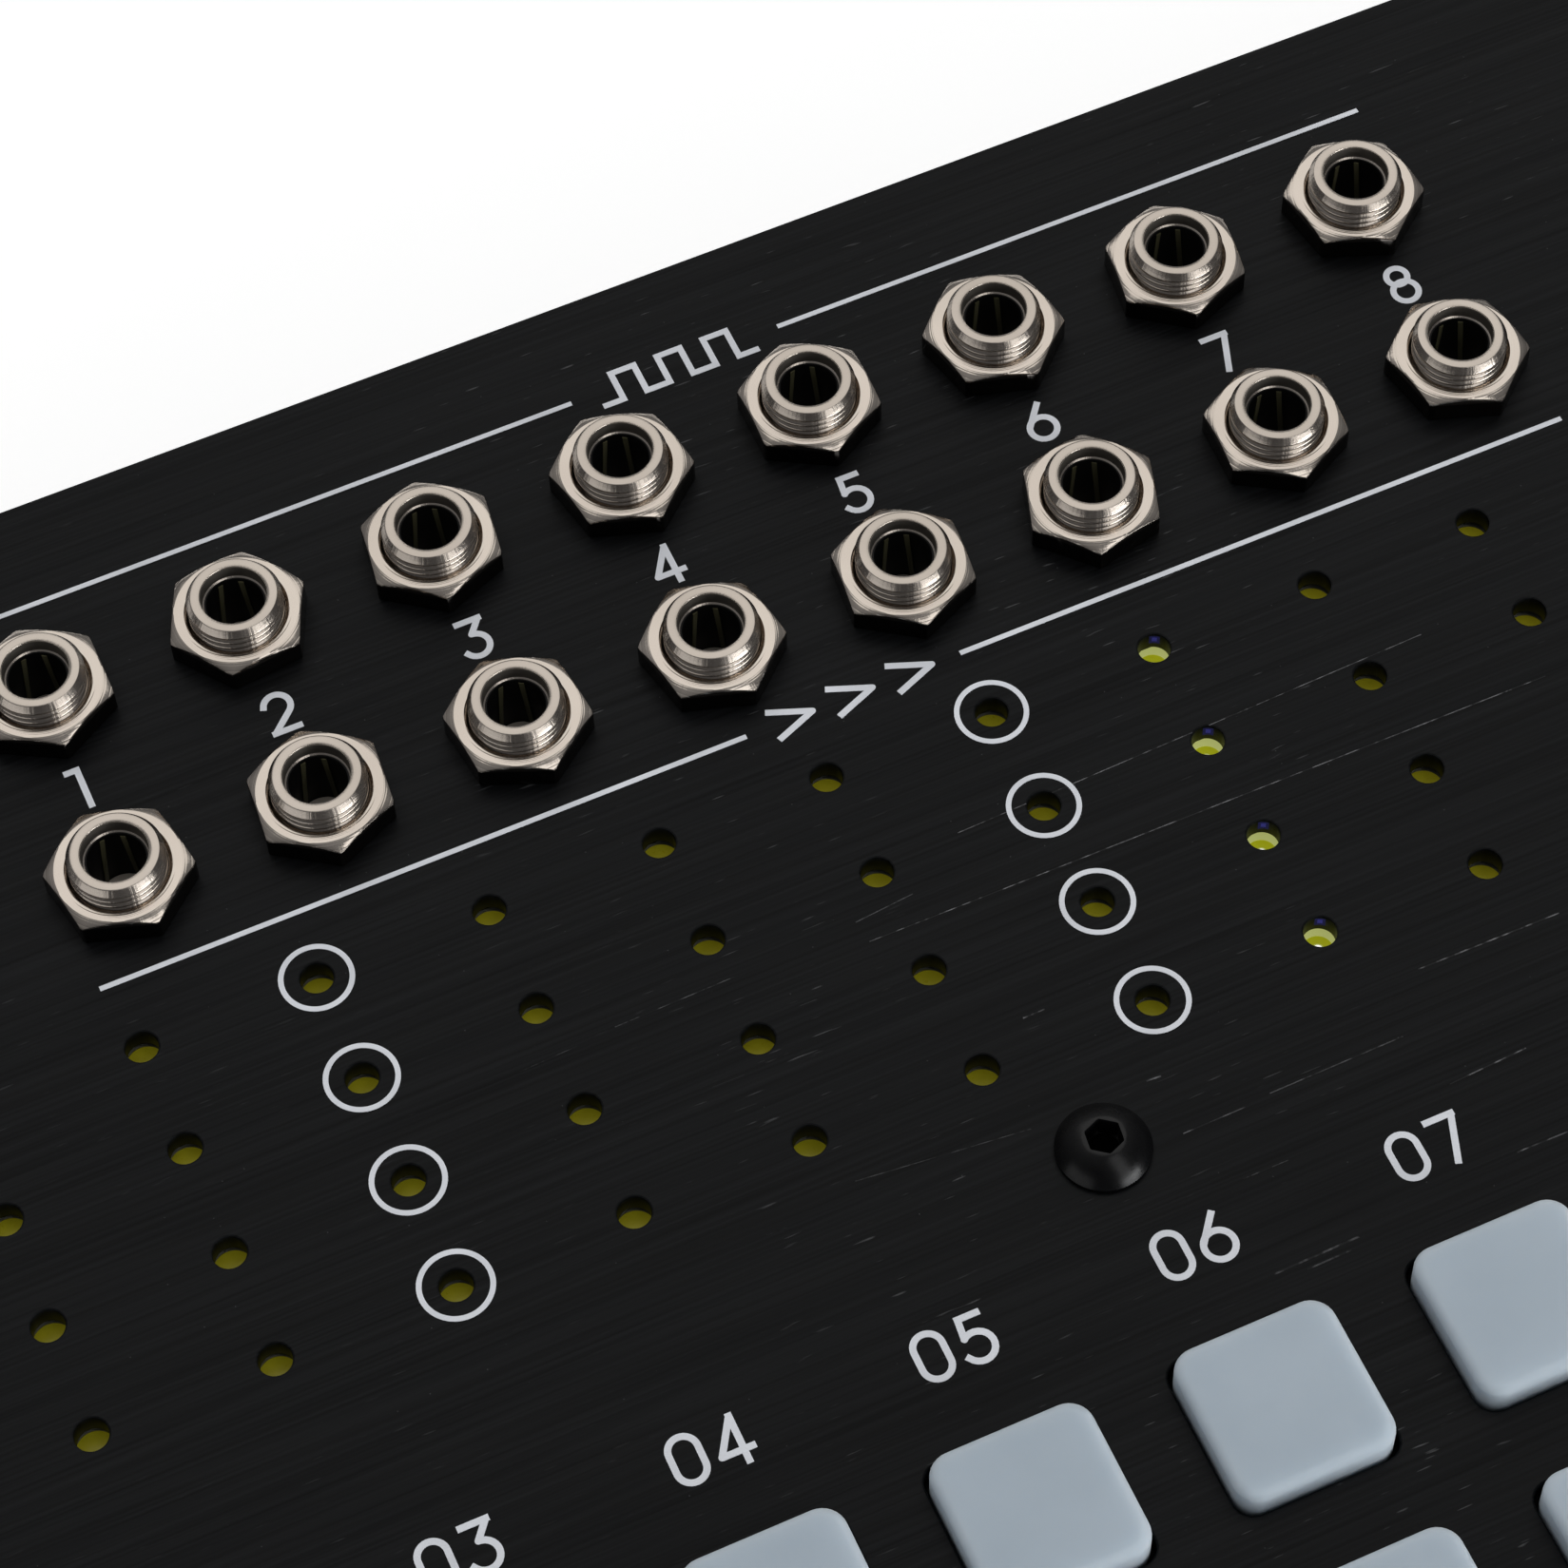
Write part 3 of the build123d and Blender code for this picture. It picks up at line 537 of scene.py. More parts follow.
def moulded(name, low, high, rough, grain=900.0, relief=0.2, depth=0.03, metallic=0.0, specular=0.5):
    """A cloudy moulded, painted or plated finish with a fine relief."""
    m, tree, shader = finish(name)
    tone, base = cloudy(tree, grain, low, high)
    tree.links.new(base, shader.inputs["Base Color"])
    roughen(tree, shader, tone["Grain"], rough - 0.07, rough + 0.07)
    shader.inputs["Metallic"].default_value = metallic
    shader.inputs["Specular IOR Level"].default_value = specular
    bumps(tree, shader, tone["Grain"], relief, depth)
    return m


def silicone():
    """Cloudy white silicone with a matte skin and a little dust, with painted shade down in the gap."""
    p = look("key")
    m, tree, shader = finish("White silicone")
    tone, base = cloudy(tree, 1500.0, p.silicone, p.silicone_deep, specks=0.03)
    faint = spread(tree, tone["Dust"], 0.0, 0.15, (-500, -200))
    base = over(tree, faint, base, p.silicone_deep, (-300, 200))
    # Painted shade on the silicone down in the gap under the panel.
    gap = depth_mask(tree, PANEL_TOP - 1.0, PANEL_TOP - 0.25)
    tree.links.new(over(tree, gap, base, p.gap_shade, (-100, 300)), shader.inputs["Base Color"])
    roughen(tree, shader, tone["Grain"], p.rough - 0.06, p.rough + 0.06)
    shader.inputs["Subsurface Weight"].default_value = 1.0
    shader.inputs["Subsurface Radius"].default_value = (1.0, 1.0, 1.0)
    shader.inputs["Subsurface Scale"].default_value = 2.4 * MM
    shader.inputs["Specular IOR Level"].default_value = 0.1
    bumps(tree, shader, tone["Grain"], 0.15, 0.02)
    return m


def ink():
    """Printed ink, a little uneven."""
    p = look("print")
    worn = tuple(0.86 * c for c in p.ink)
    return moulded("Pale ink", p.ink, worn, 0.55, grain=2500.0, relief=0.1, depth=0.01, specular=0.3)


def lens_off():
    """Yellow phosphor under a clear skin, with a painted glow although the lamp is off."""
    p = look("lamp")
    m = moulded("Lens off", p.lens, p.lens_deep, 0.3, grain=3500.0, relief=0.2, depth=0.02)
    shader = m.node_tree.nodes["Principled BSDF"]
    # Painted glow: the lens's own colour is fed to its emission.
    m.node_tree.links.new(shader.inputs["Base Color"].links[0].from_socket, shader.inputs["Emission Color"])
    shader.inputs["Emission Strength"].default_value = p.lens_glow
    shader.inputs["Coat Weight"].default_value = 0.3
    return m


def glowing(name, low, high, level, specular=0.5):
    """A lit surface, a little uneven."""
    m, tree, shader = finish(name)
    tint = cloudy(tree, 3500.0, low, high)[1]
    tree.links.new(tint, shader.inputs["Base Color"])
    tree.links.new(tint, shader.inputs["Emission Color"])
    shader.inputs["Emission Strength"].default_value = level
    shader.inputs["Specular IOR Level"].default_value = specular
    return m


# Meshes

def piece(name, verts, faces, material, body, slot, sharp=38.0):
    """A finished piece that rides on a body. verts are in millimetres."""
    mesh = bpy.data.meshes.new(name)
    mesh.from_pydata([(x * MM, y * MM, z * MM) for x, y, z in verts], [], faces)
    mesh.validate()
    return piece_from(name, mesh, material, body, sharp)


def piece_from(name, mesh, material, body, sharp=38.0):
    """A finished piece from a mesh that is already in metres."""
    mesh.polygons.foreach_set("use_smooth", [True] * len(mesh.polygons))
    mesh.set_sharp_from_angle(angle=radians(sharp))
    mesh.materials.clear()
    mesh.materials.append(material)
    obj = bpy.data.objects.new(name, mesh)
    bpy.context.scene.collection.objects.link(obj)
    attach(obj, body)
    return obj


def copies(name, part, places, material, slot, sharp=38.0):
    """A piece on the case that repeats one part at every place."""
    return piece(name, *gather(moved(part, x, y) for x, y in places), material, "case", slot, sharp)


def paint(material, *names):
    """Gives CAD nodes a material."""
    for name in names:
        if name not in NODES:
            raise RuntimeError(f"no node named {name}")
        data = NODES[name].data
        data.materials.clear()
        data.materials.append(material)


def loft(rings, closed=False, cap_first=False, cap_last=False, flip=False):
    """Faces over rings of equal length. closed joins the last ring to the first."""
    n = len(rings[0])
    verts = [v for ring in rings for v in ring]
    faces = []
    count = len(rings)
    for j in range(count if closed else count - 1):
        a, b = j * n, ((j + 1) % count) * n
        for i in range(n):
            k = (i + 1) % n
            faces.append((a + i, a + k, b + k, b + i))
    if cap_first:
        faces.append(tuple(range(n - 1, -1, -1)))
    if cap_last:
        faces.append(tuple(range((count - 1) * n, count * n)))
    if flip:
        faces = [tuple(reversed(f)) for f in faces]
    return verts, faces


def gather(parts):
    """Several (verts, faces) pairs as one."""
    verts, faces = [], []
    for more, cells in parts:
        shift = len(verts)
        verts += more
        faces += [tuple(i + shift for i in f) for f in cells]
    return verts, faces


def moved(part, x, y, z=0.0):
    """A (verts, faces) pair set down somewhere else."""
    verts, faces = part
    return [(vx + x, vy + y, vz + z) for vx, vy, vz in verts], faces


def ring_of(radii, z):
    """A ring of points with its own radius in each direction."""
    n = len(radii)
    return [(r * cos(2 * pi * i / n), r * sin(2 * pi * i / n), z) for i, r in enumerate(radii)]


def circle(r, z, n):
    """A round ring of points."""
    return ring_of([r] * n, z)


def hexed(i, n, flats, turn):
    """The radius of a hexagon in the direction of step i of n."""
    a = (360.0 * i / n - turn) % 60.0 - 30.0
    return flats / 2 / cos(radians(a))


def rounded(half, corner, z, steps=9, run=5):
    """A square of that half width with round corners, as a ring of points."""
    corner = max(corner, 0.02)
    points = []
    for q in range(4):
        cx = (half - corner) * (1 if q in (0, 3) else -1)
        cy = (half - corner) * (1 if q in (0, 1) else -1)
        for i in range(steps):
            a = pi / 2 * (q + i / (steps - 1))
            points.append((cx + corner * cos(a), cy + corner * sin(a), z))
        ax, ay, _ = points[-1]
        q2 = (q + 1) % 4
        bx = (half - corner) * (1 if q2 in (0, 3) else -1) + corner * cos(pi / 2 * (q + 1))
        by = (half - corner) * (1 if q2 in (0, 1) else -1) + corner * sin(pi / 2 * (q + 1))
        for i in range(1, run):
            t = i / run
            points.append((ax + (bx - ax) * t, ay + (by - ay) * t, z))
    return points


def holed_plate(name, outline, holes, low, high, edge):
    """A plate with holes and softened edges, as a mesh in metres."""
    curve = bpy.data.curves.new(name, "CURVE")
    curve.dimensions = "2D"
    curve.fill_mode = "BOTH"
    curve.extrude = ((high - low) / 2 - edge) * MM
    curve.bevel_depth = edge * MM
    curve.bevel_resolution = 1
    curve.offset = -edge * MM
    for k, points in enumerate([outline] + holes):
        if k:
            points = points[::-1]
        spline = curve.splines.new("POLY")
        spline.points.add(len(points) - 1)
        for slot, p in zip(spline.points, points):
            slot.co = (p[0] * MM, p[1] * MM, 0.0, 1.0)
        spline.use_cyclic_u = True
    holder = bpy.data.objects.new(name, curve)
    bpy.context.scene.collection.objects.link(holder)
    bpy.context.view_layer.update()
    mesh = bpy.data.meshes.new_from_object(holder.evaluated_get(bpy.context.evaluated_depsgraph_get()))
    bpy.data.objects.remove(holder)
    bpy.data.curves.remove(curve)
    mesh.transform(Matrix.Translation((0.0, 0.0, (low + high) / 2 * MM)))
    return mesh


def ribbon(points, width, low, high, ends="rr"):
    """A flat stroke along points. Its two ends are round or square, or it is a closed ring."""
    n, closed = len(points), ends == "ring"
    left, right = [], []
    for i, (x, y) in enumerate(points):
        before = points[i - 1] if i or closed else None
        after = points[(i + 1) % n] if i < n - 1 or closed else None
        a = Vector((x - before[0], y - before[1])).normalized() if before else None
        b = Vector((after[0] - x, after[1] - y)).normalized() if after else None
        a, b = a or b, b or a
        t = (a + b).normalized() if (a + b).length > 1e-6 else a
        if before is None and ends[0] == "s":
            x, y = x - t.x * width / 2, y - t.y * width / 2
        if after is None and ends[1] == "s":
            x, y = x + t.x * width / 2, y + t.y * width / 2
        side = Vector((-t.y, t.x))
        reach = width / 2 / max(side.dot(Vector((-a.y, a.x))), 0.5)
        left.append((x + side.x * reach, y + side.y * reach))
        right.append((x - side.x * reach, y - side.y * reach))
    verts = [(x, y, z) for z in (high, low) for x, y in left + right]
    faces = []
    top_l, top_r, low_l, low_r = 0, n, 2 * n, 3 * n
    for i in range(n if closed else n - 1):
        k = (i + 1) % n
        faces += [(top_r + i, top_r + k, top_l + k, top_l + i)]
        faces += [(top_l + i, top_l + k, low_l + k, low_l + i)]
        faces += [(top_r + k, top_r + i, low_r + i, low_r + k)]
    if not closed:
        last = n - 1
        faces += [(top_l, low_l, low_r, top_r)]
        faces += [(top_r + last, low_r + last, low_l + last, top_l + last)]
    part = [(verts, faces)]
    for k, end in enumerate(ends if not closed else ""):
        if end == "r":
            part.append(disc(points[-k], width / 2, low, high + 0.0006 - 0.0003 * k))
    return gather(part)


def disc(at, r, low, high, n=16):
    """A small flat disc."""
    part = loft([circle(r, low, n), circle(r, high, n)], cap_first=True, cap_last=True)
    return moved(part, at[0], at[1])


def bow(cx, cy, r, start, end, n=18):
    """Points of an arc, in degrees."""
    turns = [radians(start + (end - start) * i / n) for i in range(n + 1)]
    return [(cx + r * cos(a), cy + r * sin(a)) for a in turns]


def numeral(d):
    """The strokes of a plain number one unit high, each with its two ends: round, square or a ring."""
    ring_low, ring_high = bow(0.32, 0.32, 0.32, 0, 348, 29), bow(0.32, 0.68, 0.32, 0, 348, 29)
    oval = bow(0.3, 0.70, 0.30, 0, 180, 16) + bow(0.3, 0.30, 0.30, 180, 360, 16)
    return {
        "0": [(oval, "ring")],
        "1": [([(0.12, 1.0), (0.36, 1.0)], "sr"), ([(0.36, 1.0), (0.36, 0.0)], "ss")],
        "2": [(bow(0.31, 0.69, 0.31, 165, -42) + [(0.02, 0.0)], "sr"), ([(0.02, 0.0), (0.60, 0.0)], "ss")],
        "3": [
            ([(0.06, 1.0), (0.58, 1.0)], "ss"),
            ([(0.58, 1.0), (0.28, 0.62)], "rr"),
            (bow(0.28, 0.31, 0.31, 90, -150), "rs"),
        ],
        "4": [
            ([(0.46, 0.0), (0.46, 1.0)], "ss"),
            ([(0.46, 1.0), (0.0, 0.25)], "rr"),
            ([(0.0, 0.25), (0.64, 0.25)], "rs"),
        ],
        "5": [
            ([(0.54, 1.0), (0.14, 1.0)], "ss"),
            ([(0.14, 1.0), (0.09, 0.56)], "rr"),
            (bow(0.29, 0.32, 0.32, 130, -150), "rs"),
        ],
        "6": [([(0.46, 1.0), (0.04, 0.46)], "sr"), (ring_low, "ring")],
        "7": [([(0.04, 1.0), (0.6, 1.0)], "ss"), ([(0.6, 1.0), (0.24, 0.0)], "rs")],
        "8": [(bow(0.31, 0.75, 0.25, 0, 348, 29), "ring"), (bow(0.31, 0.28, 0.30, 0, 348, 29), "ring")],
        "9": [([(0.18, 0.0), (0.60, 0.54)], "sr"), (ring_high, "ring")],
    }[d]


def written(text, x, y, height, stroke, low, high):
    """A plain number centred on x with its foot at y."""
    advance = 0.92 * height
    start = x - (advance * (len(text) - 1) + 0.62 * height) / 2
    parts = []
    for k, d in enumerate(text):
        for s, (line, ends) in enumerate(numeral(d)):
            points = [(start + advance * k + px * height, y + py * height) for px, py in line]
            parts.append(ribbon(points, stroke, low, high + 0.002 * s, ends))
    return gather(parts)


class SEQUENCER_OT_panel(Operator):
    """Makes the face plate with softened hole edges and a brushed black finish"""

    bl_idname = "sequencer.panel"
    bl_label = "Face plate"

    def execute(self, context):
        p, k, lamps = look("panel"), look("key"), lamp_points()
        half_x, half_y = CASE_X / 2, CASE_Y / 2
        outline = []
        for q, (sx, sy) in enumerate(((1, 1), (-1, 1), (-1, -1), (1, -1))):
            mid_x, mid_y = sx * (half_x - p.corner), sy * (half_y - p.corner)
            outline += bow(mid_x, mid_y, p.corner, 90 * q, 90 * q + 90, 10)
        holes = [hole(x, y, p.lamp_hole, 40) for row in lamps for x, y in row]
        holes += [hole(x, y, p.socket_hole, 48) for row in ROWS for x, y in sockets(row)]
        holes += [hole(x, y, p.screw_hole, 24) for x, y in screw_points()]
        opening = rounded(k.size / 2 + p.key_gap, p.key_hole_corner, 0.0)
        for key in KEYS:
            x, y, _ = middle_of(key)
            holes.append([(vx + x, vy + y) for vx, vy, _ in opening])
        mesh = holed_plate("face_plate", outline, holes, PANEL_LOW, PANEL_TOP, p.edge)
        plate = piece_from("face_plate", mesh, anodised(), "case")
        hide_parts("top_panel")
        return {"FINISHED"}


def hole(x, y, r, n):
    """A round hole as flat points."""
    return [(x + vx, y + vy) for vx, vy, _ in circle(r, 0.0, n)]


def lamp_points():
    """The grid of lamps, read from the box of their packages."""
    p = look("lamp")
    low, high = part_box("lamp_housings")
    package_x, package_y = 3.5, 2.8
    x0, x1 = low[0] / MM + package_x / 2, high[0] / MM - package_x / 2
    y0, y1 = low[1] / MM + package_y / 2, high[1] / MM - package_y / 2
    xs = [x0 + (x1 - x0) * c / (p.columns - 1) for c in range(p.columns)]
    ys = [y1 - (y1 - y0) * r / (p.rows - 1) for r in range(p.rows)]
    return [[(x, y) for x in xs] for y in ys]


def screw_points():
    """The places of the panel screws: four corners and a row across the middle."""
    high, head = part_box("panel_screws")[1], 2.85
    x, y = high[0] / MM - head, high[1] / MM - head
    mid_x, mid_y = -0.9, -8.39
    return [(-x, y), (x, y), (-x, -y), (x, -y), (-x, mid_y), (mid_x, mid_y), (x, mid_y)]


class SEQUENCER_OT_print(Operator):
    """Prints the rules, the rings, the socket numbers and the key numbers"""

    bl_idname = "sequencer.print_marks"
    bl_label = "Printed marks"

    def execute(self, context):
        p, lamp = look("print"), look("lamp")
        pale = ink()
        low, high = PANEL_TOP, PANEL_TOP + p.raise_by
        rules = []
        for y in (p.rule_near, p.rule_far):
            rules.append(bar(-p.rule_start, -p.gap_start, y, p.stroke, low, high))
            rules.append(bar(p.gap_end, p.rule_end, y, p.stroke, low, high))
        piece("printed_rules", *gather(rules), pale, "case", "panel")
        rings = []
        for row in lamp_points():
            for x, y in row[:: lamp.beat]:
                points = [(x + vx, y + vy) for vx, vy, _ in circle(p.ring, 0.0, 72)]
                rings.append(ribbon(points, p.stroke, low, high, "ring"))
        piece("printed_rings", *gather(rings), pale, "case", "panel")
        near, far = sockets("accent"), sockets("trigger")
        numbers = []
        for i, ((x, y0), (_, y1)) in enumerate(zip(near, far)):
            foot = (y0 + y1) / 2 + 0.2 - p.number / 2
            numbers.append(written(str(i + 1), x, foot, p.number, p.number_stroke, low, high))
        piece("printed_socket_numbers", *gather(numbers), pale, "case", "panel")
        labels = []
        for i, key in enumerate(KEYS):
            x, y, _ = middle_of(key)
            rear = key.startswith("key_1")
            foot = y + p.key_number_gap if rear else y - p.key_number_gap - p.key_number
            labels.append(written(f"{i + 1:02d}", x, foot, p.key_number, p.number_stroke, low, high))
        piece("printed_key_numbers", *gather(labels), pale, "case", "panel")
        signs = [pulse_sign(p.rule_far, low, high), stress_sign(p.rule_near, low, high)]
        piece("printed_row_signs", *gather(signs), pale, "case", "panel")
        return {"FINISHED"}


def bar(x0, x1, y, width, low, high):
    """A printed rule with square ends."""
    h = width / 2
    ring = [(x0, y - h), (x1, y - h), (x1, y + h), (x0, y + h)]
    return loft([[(x, py, z) for x, py in ring] for z in (low, high)], cap_first=True, cap_last=True)


def pulse_sign(y, low, high):
    """A train of pulses in the gap of the rear rule."""
    p = look("print")
    mid, tall = (p.gap_end - p.gap_start) / 2, 2.2
    steps = [(-5.2, 0), (-4.0, 0), (-4.0, 1), (-2.4, 1), (-2.4, 0), (-0.8, 0), (-0.8, 1), (0.8, 1), (0.8, 0)]
    steps += [(2.4, 0), (2.4, 1), (4.0, 1), (4.0, 0), (5.2, 0)]
    points = [(mid + x, y - tall / 2 + tall * s) for x, s in steps]
    return gather(
        ribbon([a, b], p.number_stroke, low, high + 0.001 * (k % 2), "ss")
        for k, (a, b) in enumerate(zip(points, points[1:]))
    )


def stress_sign(y, low, high):
    """Three open wedges in the gap of the front rule."""
    p = look("print")
    mid = (p.gap_end - p.gap_start) / 2
    arms = [([(-1.25, 1.0), (1.25, 0.0)], "sr"), ([(1.25, 0.0), (-1.25, -1.0)], "rs")]
    return gather(
        ribbon([(mid + s + x, y + v) for x, v in arm], p.number_stroke, low, high + 0.001 * k, ends)
        for s in (-4.0, 0.0, 4.0)
        for k, (arm, ends) in enumerate(arms)
    )


class SEQUENCER_OT_bushings(Operator):
    """Makes the threaded bushings of the patch sockets"""

    bl_idname = "sequencer.bushings"
    bl_label = "Socket bushings"

    def execute(self, context):
        rough = look("socket").rough + 0.06
        # The bushings get painted shade below the panel's top.
        bright = nickel("Bright nickel", 0.79, rough, 0.006, 0.018, PANEL_TOP)
        for row in ROWS:
            node = f"{row}_jack_bushings"
            made = copies(f"{row}_bushings", bushing(*heights(node)), sockets(row), bright, "nickel", 50.0)
            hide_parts(node)
        return {"FINISHED"}


def bushing(low, top):
    """One bushing: flange, helical thread, chamfered nose and a tapered mouth."""
    p, n = look("socket"), 120
    flange_r, flange_t, soft = 3.6, 0.8, 0.03
    start, shoulder = PANEL_TOP + 1.2, top - p.nose
    inner = p.bore + 0.1
    core = p.thread - p.thread_depth
    rings = [circle(inner, low, n), circle(flange_r, low, n), circle(flange_r, low + flange_t, n)]
    rings += [circle(core, low + flange_t, n), circle(core, start, n)]
    rows = int((shoulder - start) / (p.thread_pitch / 10))
    for j in range(1, rows + 1):
        z = start + (shoulder - start) * j / rows
        cut = min(max((shoulder - 0.06 - z) / 0.12, 0.0), 1.0)
        radii = []
        for i in range(n):
            turn = (z / p.thread_pitch - i / n) % 1.0
            groove = 1.0 - min(1.3 * (1.0 - abs(2.0 * turn - 1.0)), 1.0)
            radii.append(p.thread - p.thread_depth * groove * cut)
        rings.append(ring_of(radii, z))
    step = top - p.mouth
    nose = [(p.thread - soft, shoulder + soft), (p.lip_out + 0.01, top - soft), (p.lip_out - soft, top)]
    mouth = [(p.lip_in + soft, top), (p.lip_in, top - soft), (inner + 0.12, step + 0.05)]
    mouth += [(inner + 0.04, step), (inner, step - 0.03)]
    rings += [circle(r, z, n) for r, z in nose + mouth]
    return loft(rings, closed=True)


class SEQUENCER_OT_nuts(Operator):
    """Makes the hex nuts of the patch sockets, each at its own turn"""

    bl_idname = "sequencer.nuts"
    bl_label = "Socket nuts"

    def execute(self, context):
        rough = look("socket").rough - 0.03
        # The nuts' sides below the crown get painted shade.
        satin = nickel("Satin nickel", 0.92, rough, 0.018, 0.008, NUT_TOP - 0.42)
        turns = {"trigger": (30, 6, 22, 41, 29, 43, 22, 38), "accent": (41, 25, 37, 42, 24, 12, 27, 40)}
        for row in ROWS:
            node = f"{row}_jack_nuts"
            low, high = heights(node)
            places = zip(turns[row], sockets(row))
            parts = [moved(hex_nut(high - low, turn), x, y, low) for turn, (x, y) in places]
            made = piece(f"{row}_nuts", *gather(parts), satin, "case", "nickel", 24.0)
            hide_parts(node)
        return {"FINISHED"}


def hex_nut(tall, turn):
    """One nut with a chamfered crown and broken edges."""
    p, n, soft = look("socket"), 120, 0.05
    bore = p.thread + 0.05
    corner = p.nut_flats / sqrt(3) - 0.04
    fall = tan(radians(30))
    sides = [min(hexed(i, n, p.nut_flats, turn), corner) for i in range(n)]

    def edge(inset, drop, foot=None):
        ring = []
        for i, r in enumerate(sides):
            z = tall - (r - p.nut_crown) * fall - drop if foot is None else foot
            a = 2 * pi * i / n
            ring.append(((r - inset) * cos(a), (r - inset) * sin(a), z))
        return ring

    rings = [circle(bore, 0.0, n), edge(soft, 0, 0.0), edge(0, 0, soft), edge(0, 0.07), edge(0.04, -0.01)]
    rings += [circle(p.nut_crown + 0.04, tall - 0.02, n), circle(p.nut_crown - 0.05, tall, n)]
    flare = bore + p.nut_flare
    mouth = ((flare + 0.02, tall), (flare - 0.02, tall - 0.03), (bore, tall - p.nut_flare))
    rings += [circle(r, z, n) for r, z in mouth]
    return loft(rings, closed=True)


class SEQUENCER_OT_socket_insides(Operator):
    """Makes the black liners and the contacts seen down the bores"""

    bl_idname = "sequencer.socket_insides"
    bl_label = "Socket insides"

    def execute(self, context):
        p, places = look("socket"), [at for row in ROWS for at in sockets(row)]
        black = moulded("Black moulding", (0.003,) * 3, (0.006,) * 3, 0.5, specular=0.15)
        bronze, bronze_shade = (0.12, 0.112, 0.06), (0.075, 0.071, 0.038)
        spring = moulded("Spring bronze", bronze, bronze_shade, 0.5, relief=0.08, specular=0.2)
        leaf, leaf_shade = (0.62, 0.55, 0.48), (0.50, 0.44, 0.38)
        plate = moulded("Contact plate", leaf, leaf_shade, 0.35, metallic=1.0, relief=0.06)
        skin, skin_shade = (0.34, 0.31, 0.27), (0.26, 0.235, 0.205)
        wall = moulded("Turned wall", skin, skin_shade, 0.45, metallic=1.0, relief=0.08)
        paint(black, "trigger_jack_housings", "accent_jack_housings", "board_link_headers")
        low, top = heights("trigger_jack_bushings")
        step, inner, outer = top - p.mouth - 0.02, p.bore, p.bore + 0.08
        edges = ((inner, low), (outer, low), (outer, step), (inner, step))
        liner = loft([circle(r, z, 64) for r, z in edges], closed=True)
        copies("socket_liners", liner, places, black, "socket_plastic")
        made = copies("socket_contacts", contacts(low, step), places, spring, "spring")
        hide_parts("jack_contact_springs")
        copies("socket_mouths", mouth_wall(top), places, wall, "nickel")
        copies("socket_leaves", contact_leaf(low), places, plate, "spring")
        return {"FINISHED"}


def mouth_wall(top):
    """The duller skin of a bushing's mouth."""
    p, n, thick = look("socket"), 96, 0.015
    foot, inner = top - p.mouth + 0.06, p.bore + 0.19
    rim, outer = top - 0.06, p.lip_in - 0.005
    edges = ((inner, foot), (inner + thick, foot), (outer, rim), (outer - thick, rim))
    return loft([circle(r, z, n) for r, z in edges], closed=True)


def contacts(low, top):
    """Two prongs that lean apart on the rear of a bore."""
    r, middle, half, thick = look("socket").bore, 80.0, 0.16, 0.05
    parts = []
    for side in (-1, 1):
        rings = []
        for z, spread_by in ((low, 38.0), (top - 0.25, 21.0)):
            a = radians(middle + side * spread_by)
            ring = []
            for across, inward in ((half, 0.0), (-half, 0.0), (-half, thick), (half, thick)):
                out = sqrt(r * r - across * across) - inward
                ring.append((out * cos(a) - across * sin(a), out * sin(a) + across * cos(a), z))
            rings.append(ring)
        parts.append(loft(rings, cap_first=True, cap_last=True, flip=True))
    return gather(parts)


def contact_leaf(low):
    """The tilted leaf at the foot of a bore."""
    r, middle, thick, tilt = 0.97 * look("socket").bore, 75.0, 0.06, 0.12
    far = low + 1.62
    turns = [(radians(middle + a), r * cos(radians(a))) for a in range(-70, 71, 10)]
    arc = [(r * cos(a), r * sin(a), along) for a, along in turns]
    rings = [[(x, y, far - (r - d) * tilt - drop) for x, y, d in arc] for drop in (thick, 0.0)]
    return loft(rings, cap_first=True, cap_last=True)


class SEQUENCER_OT_screws(Operator):
    """Makes the button-head screws with their hex sockets"""

    bl_idname = "sequencer.screws"
    bl_label = "Screws"

    def execute(self, context):
        black, black_shade = (0.0018, 0.0018, 0.002), (0.0035, 0.0035, 0.0038)
        oxide = moulded("Black oxide", black, black_shade, 0.28, grain=1800.0, relief=0.1, specular=0.22)
        shade = moulded("Socket shade", (0.0003,) * 3, (0.0006,) * 3, 0.8, relief=0.1, specular=0.02)
        places = screw_points()
        turns_above, turns_below = (10, 50, 20, 35, 5, 22, 40), (15, 30, 8, 52, 44, 26, 37)
        tops = [moved(button_screw(turn), x, y, PANEL_TOP) for turn, (x, y) in zip(turns_above, places)]
        made = piece("panel_button_screws", *gather(tops), oxide, "case", "black_screw", 32.0)
        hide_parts("panel_screws")
        # Painted shade: a near-black disc at the foot of each hex socket.
        shade_discs = [disc(at, 0.99, PANEL_TOP, PANEL_TOP + 0.05, 36) for at in places]
        piece("panel_screw_socket_shade", *gather(shade_discs), shade, "case", "black_screw")
        under = heights("base_shell")[0]
        lows = []
        for turn, (x, y) in zip(turns_below, places):
            verts, faces = button_screw(turn)
            lows.append(moved(([(vx, -vy, -vz) for vx, vy, vz in verts], faces), x, y, under))
        made = piece("base_button_screws", *gather(lows), oxide, "case", "black_screw", 32.0)
        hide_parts("base_screws")
        return {"FINISHED"}


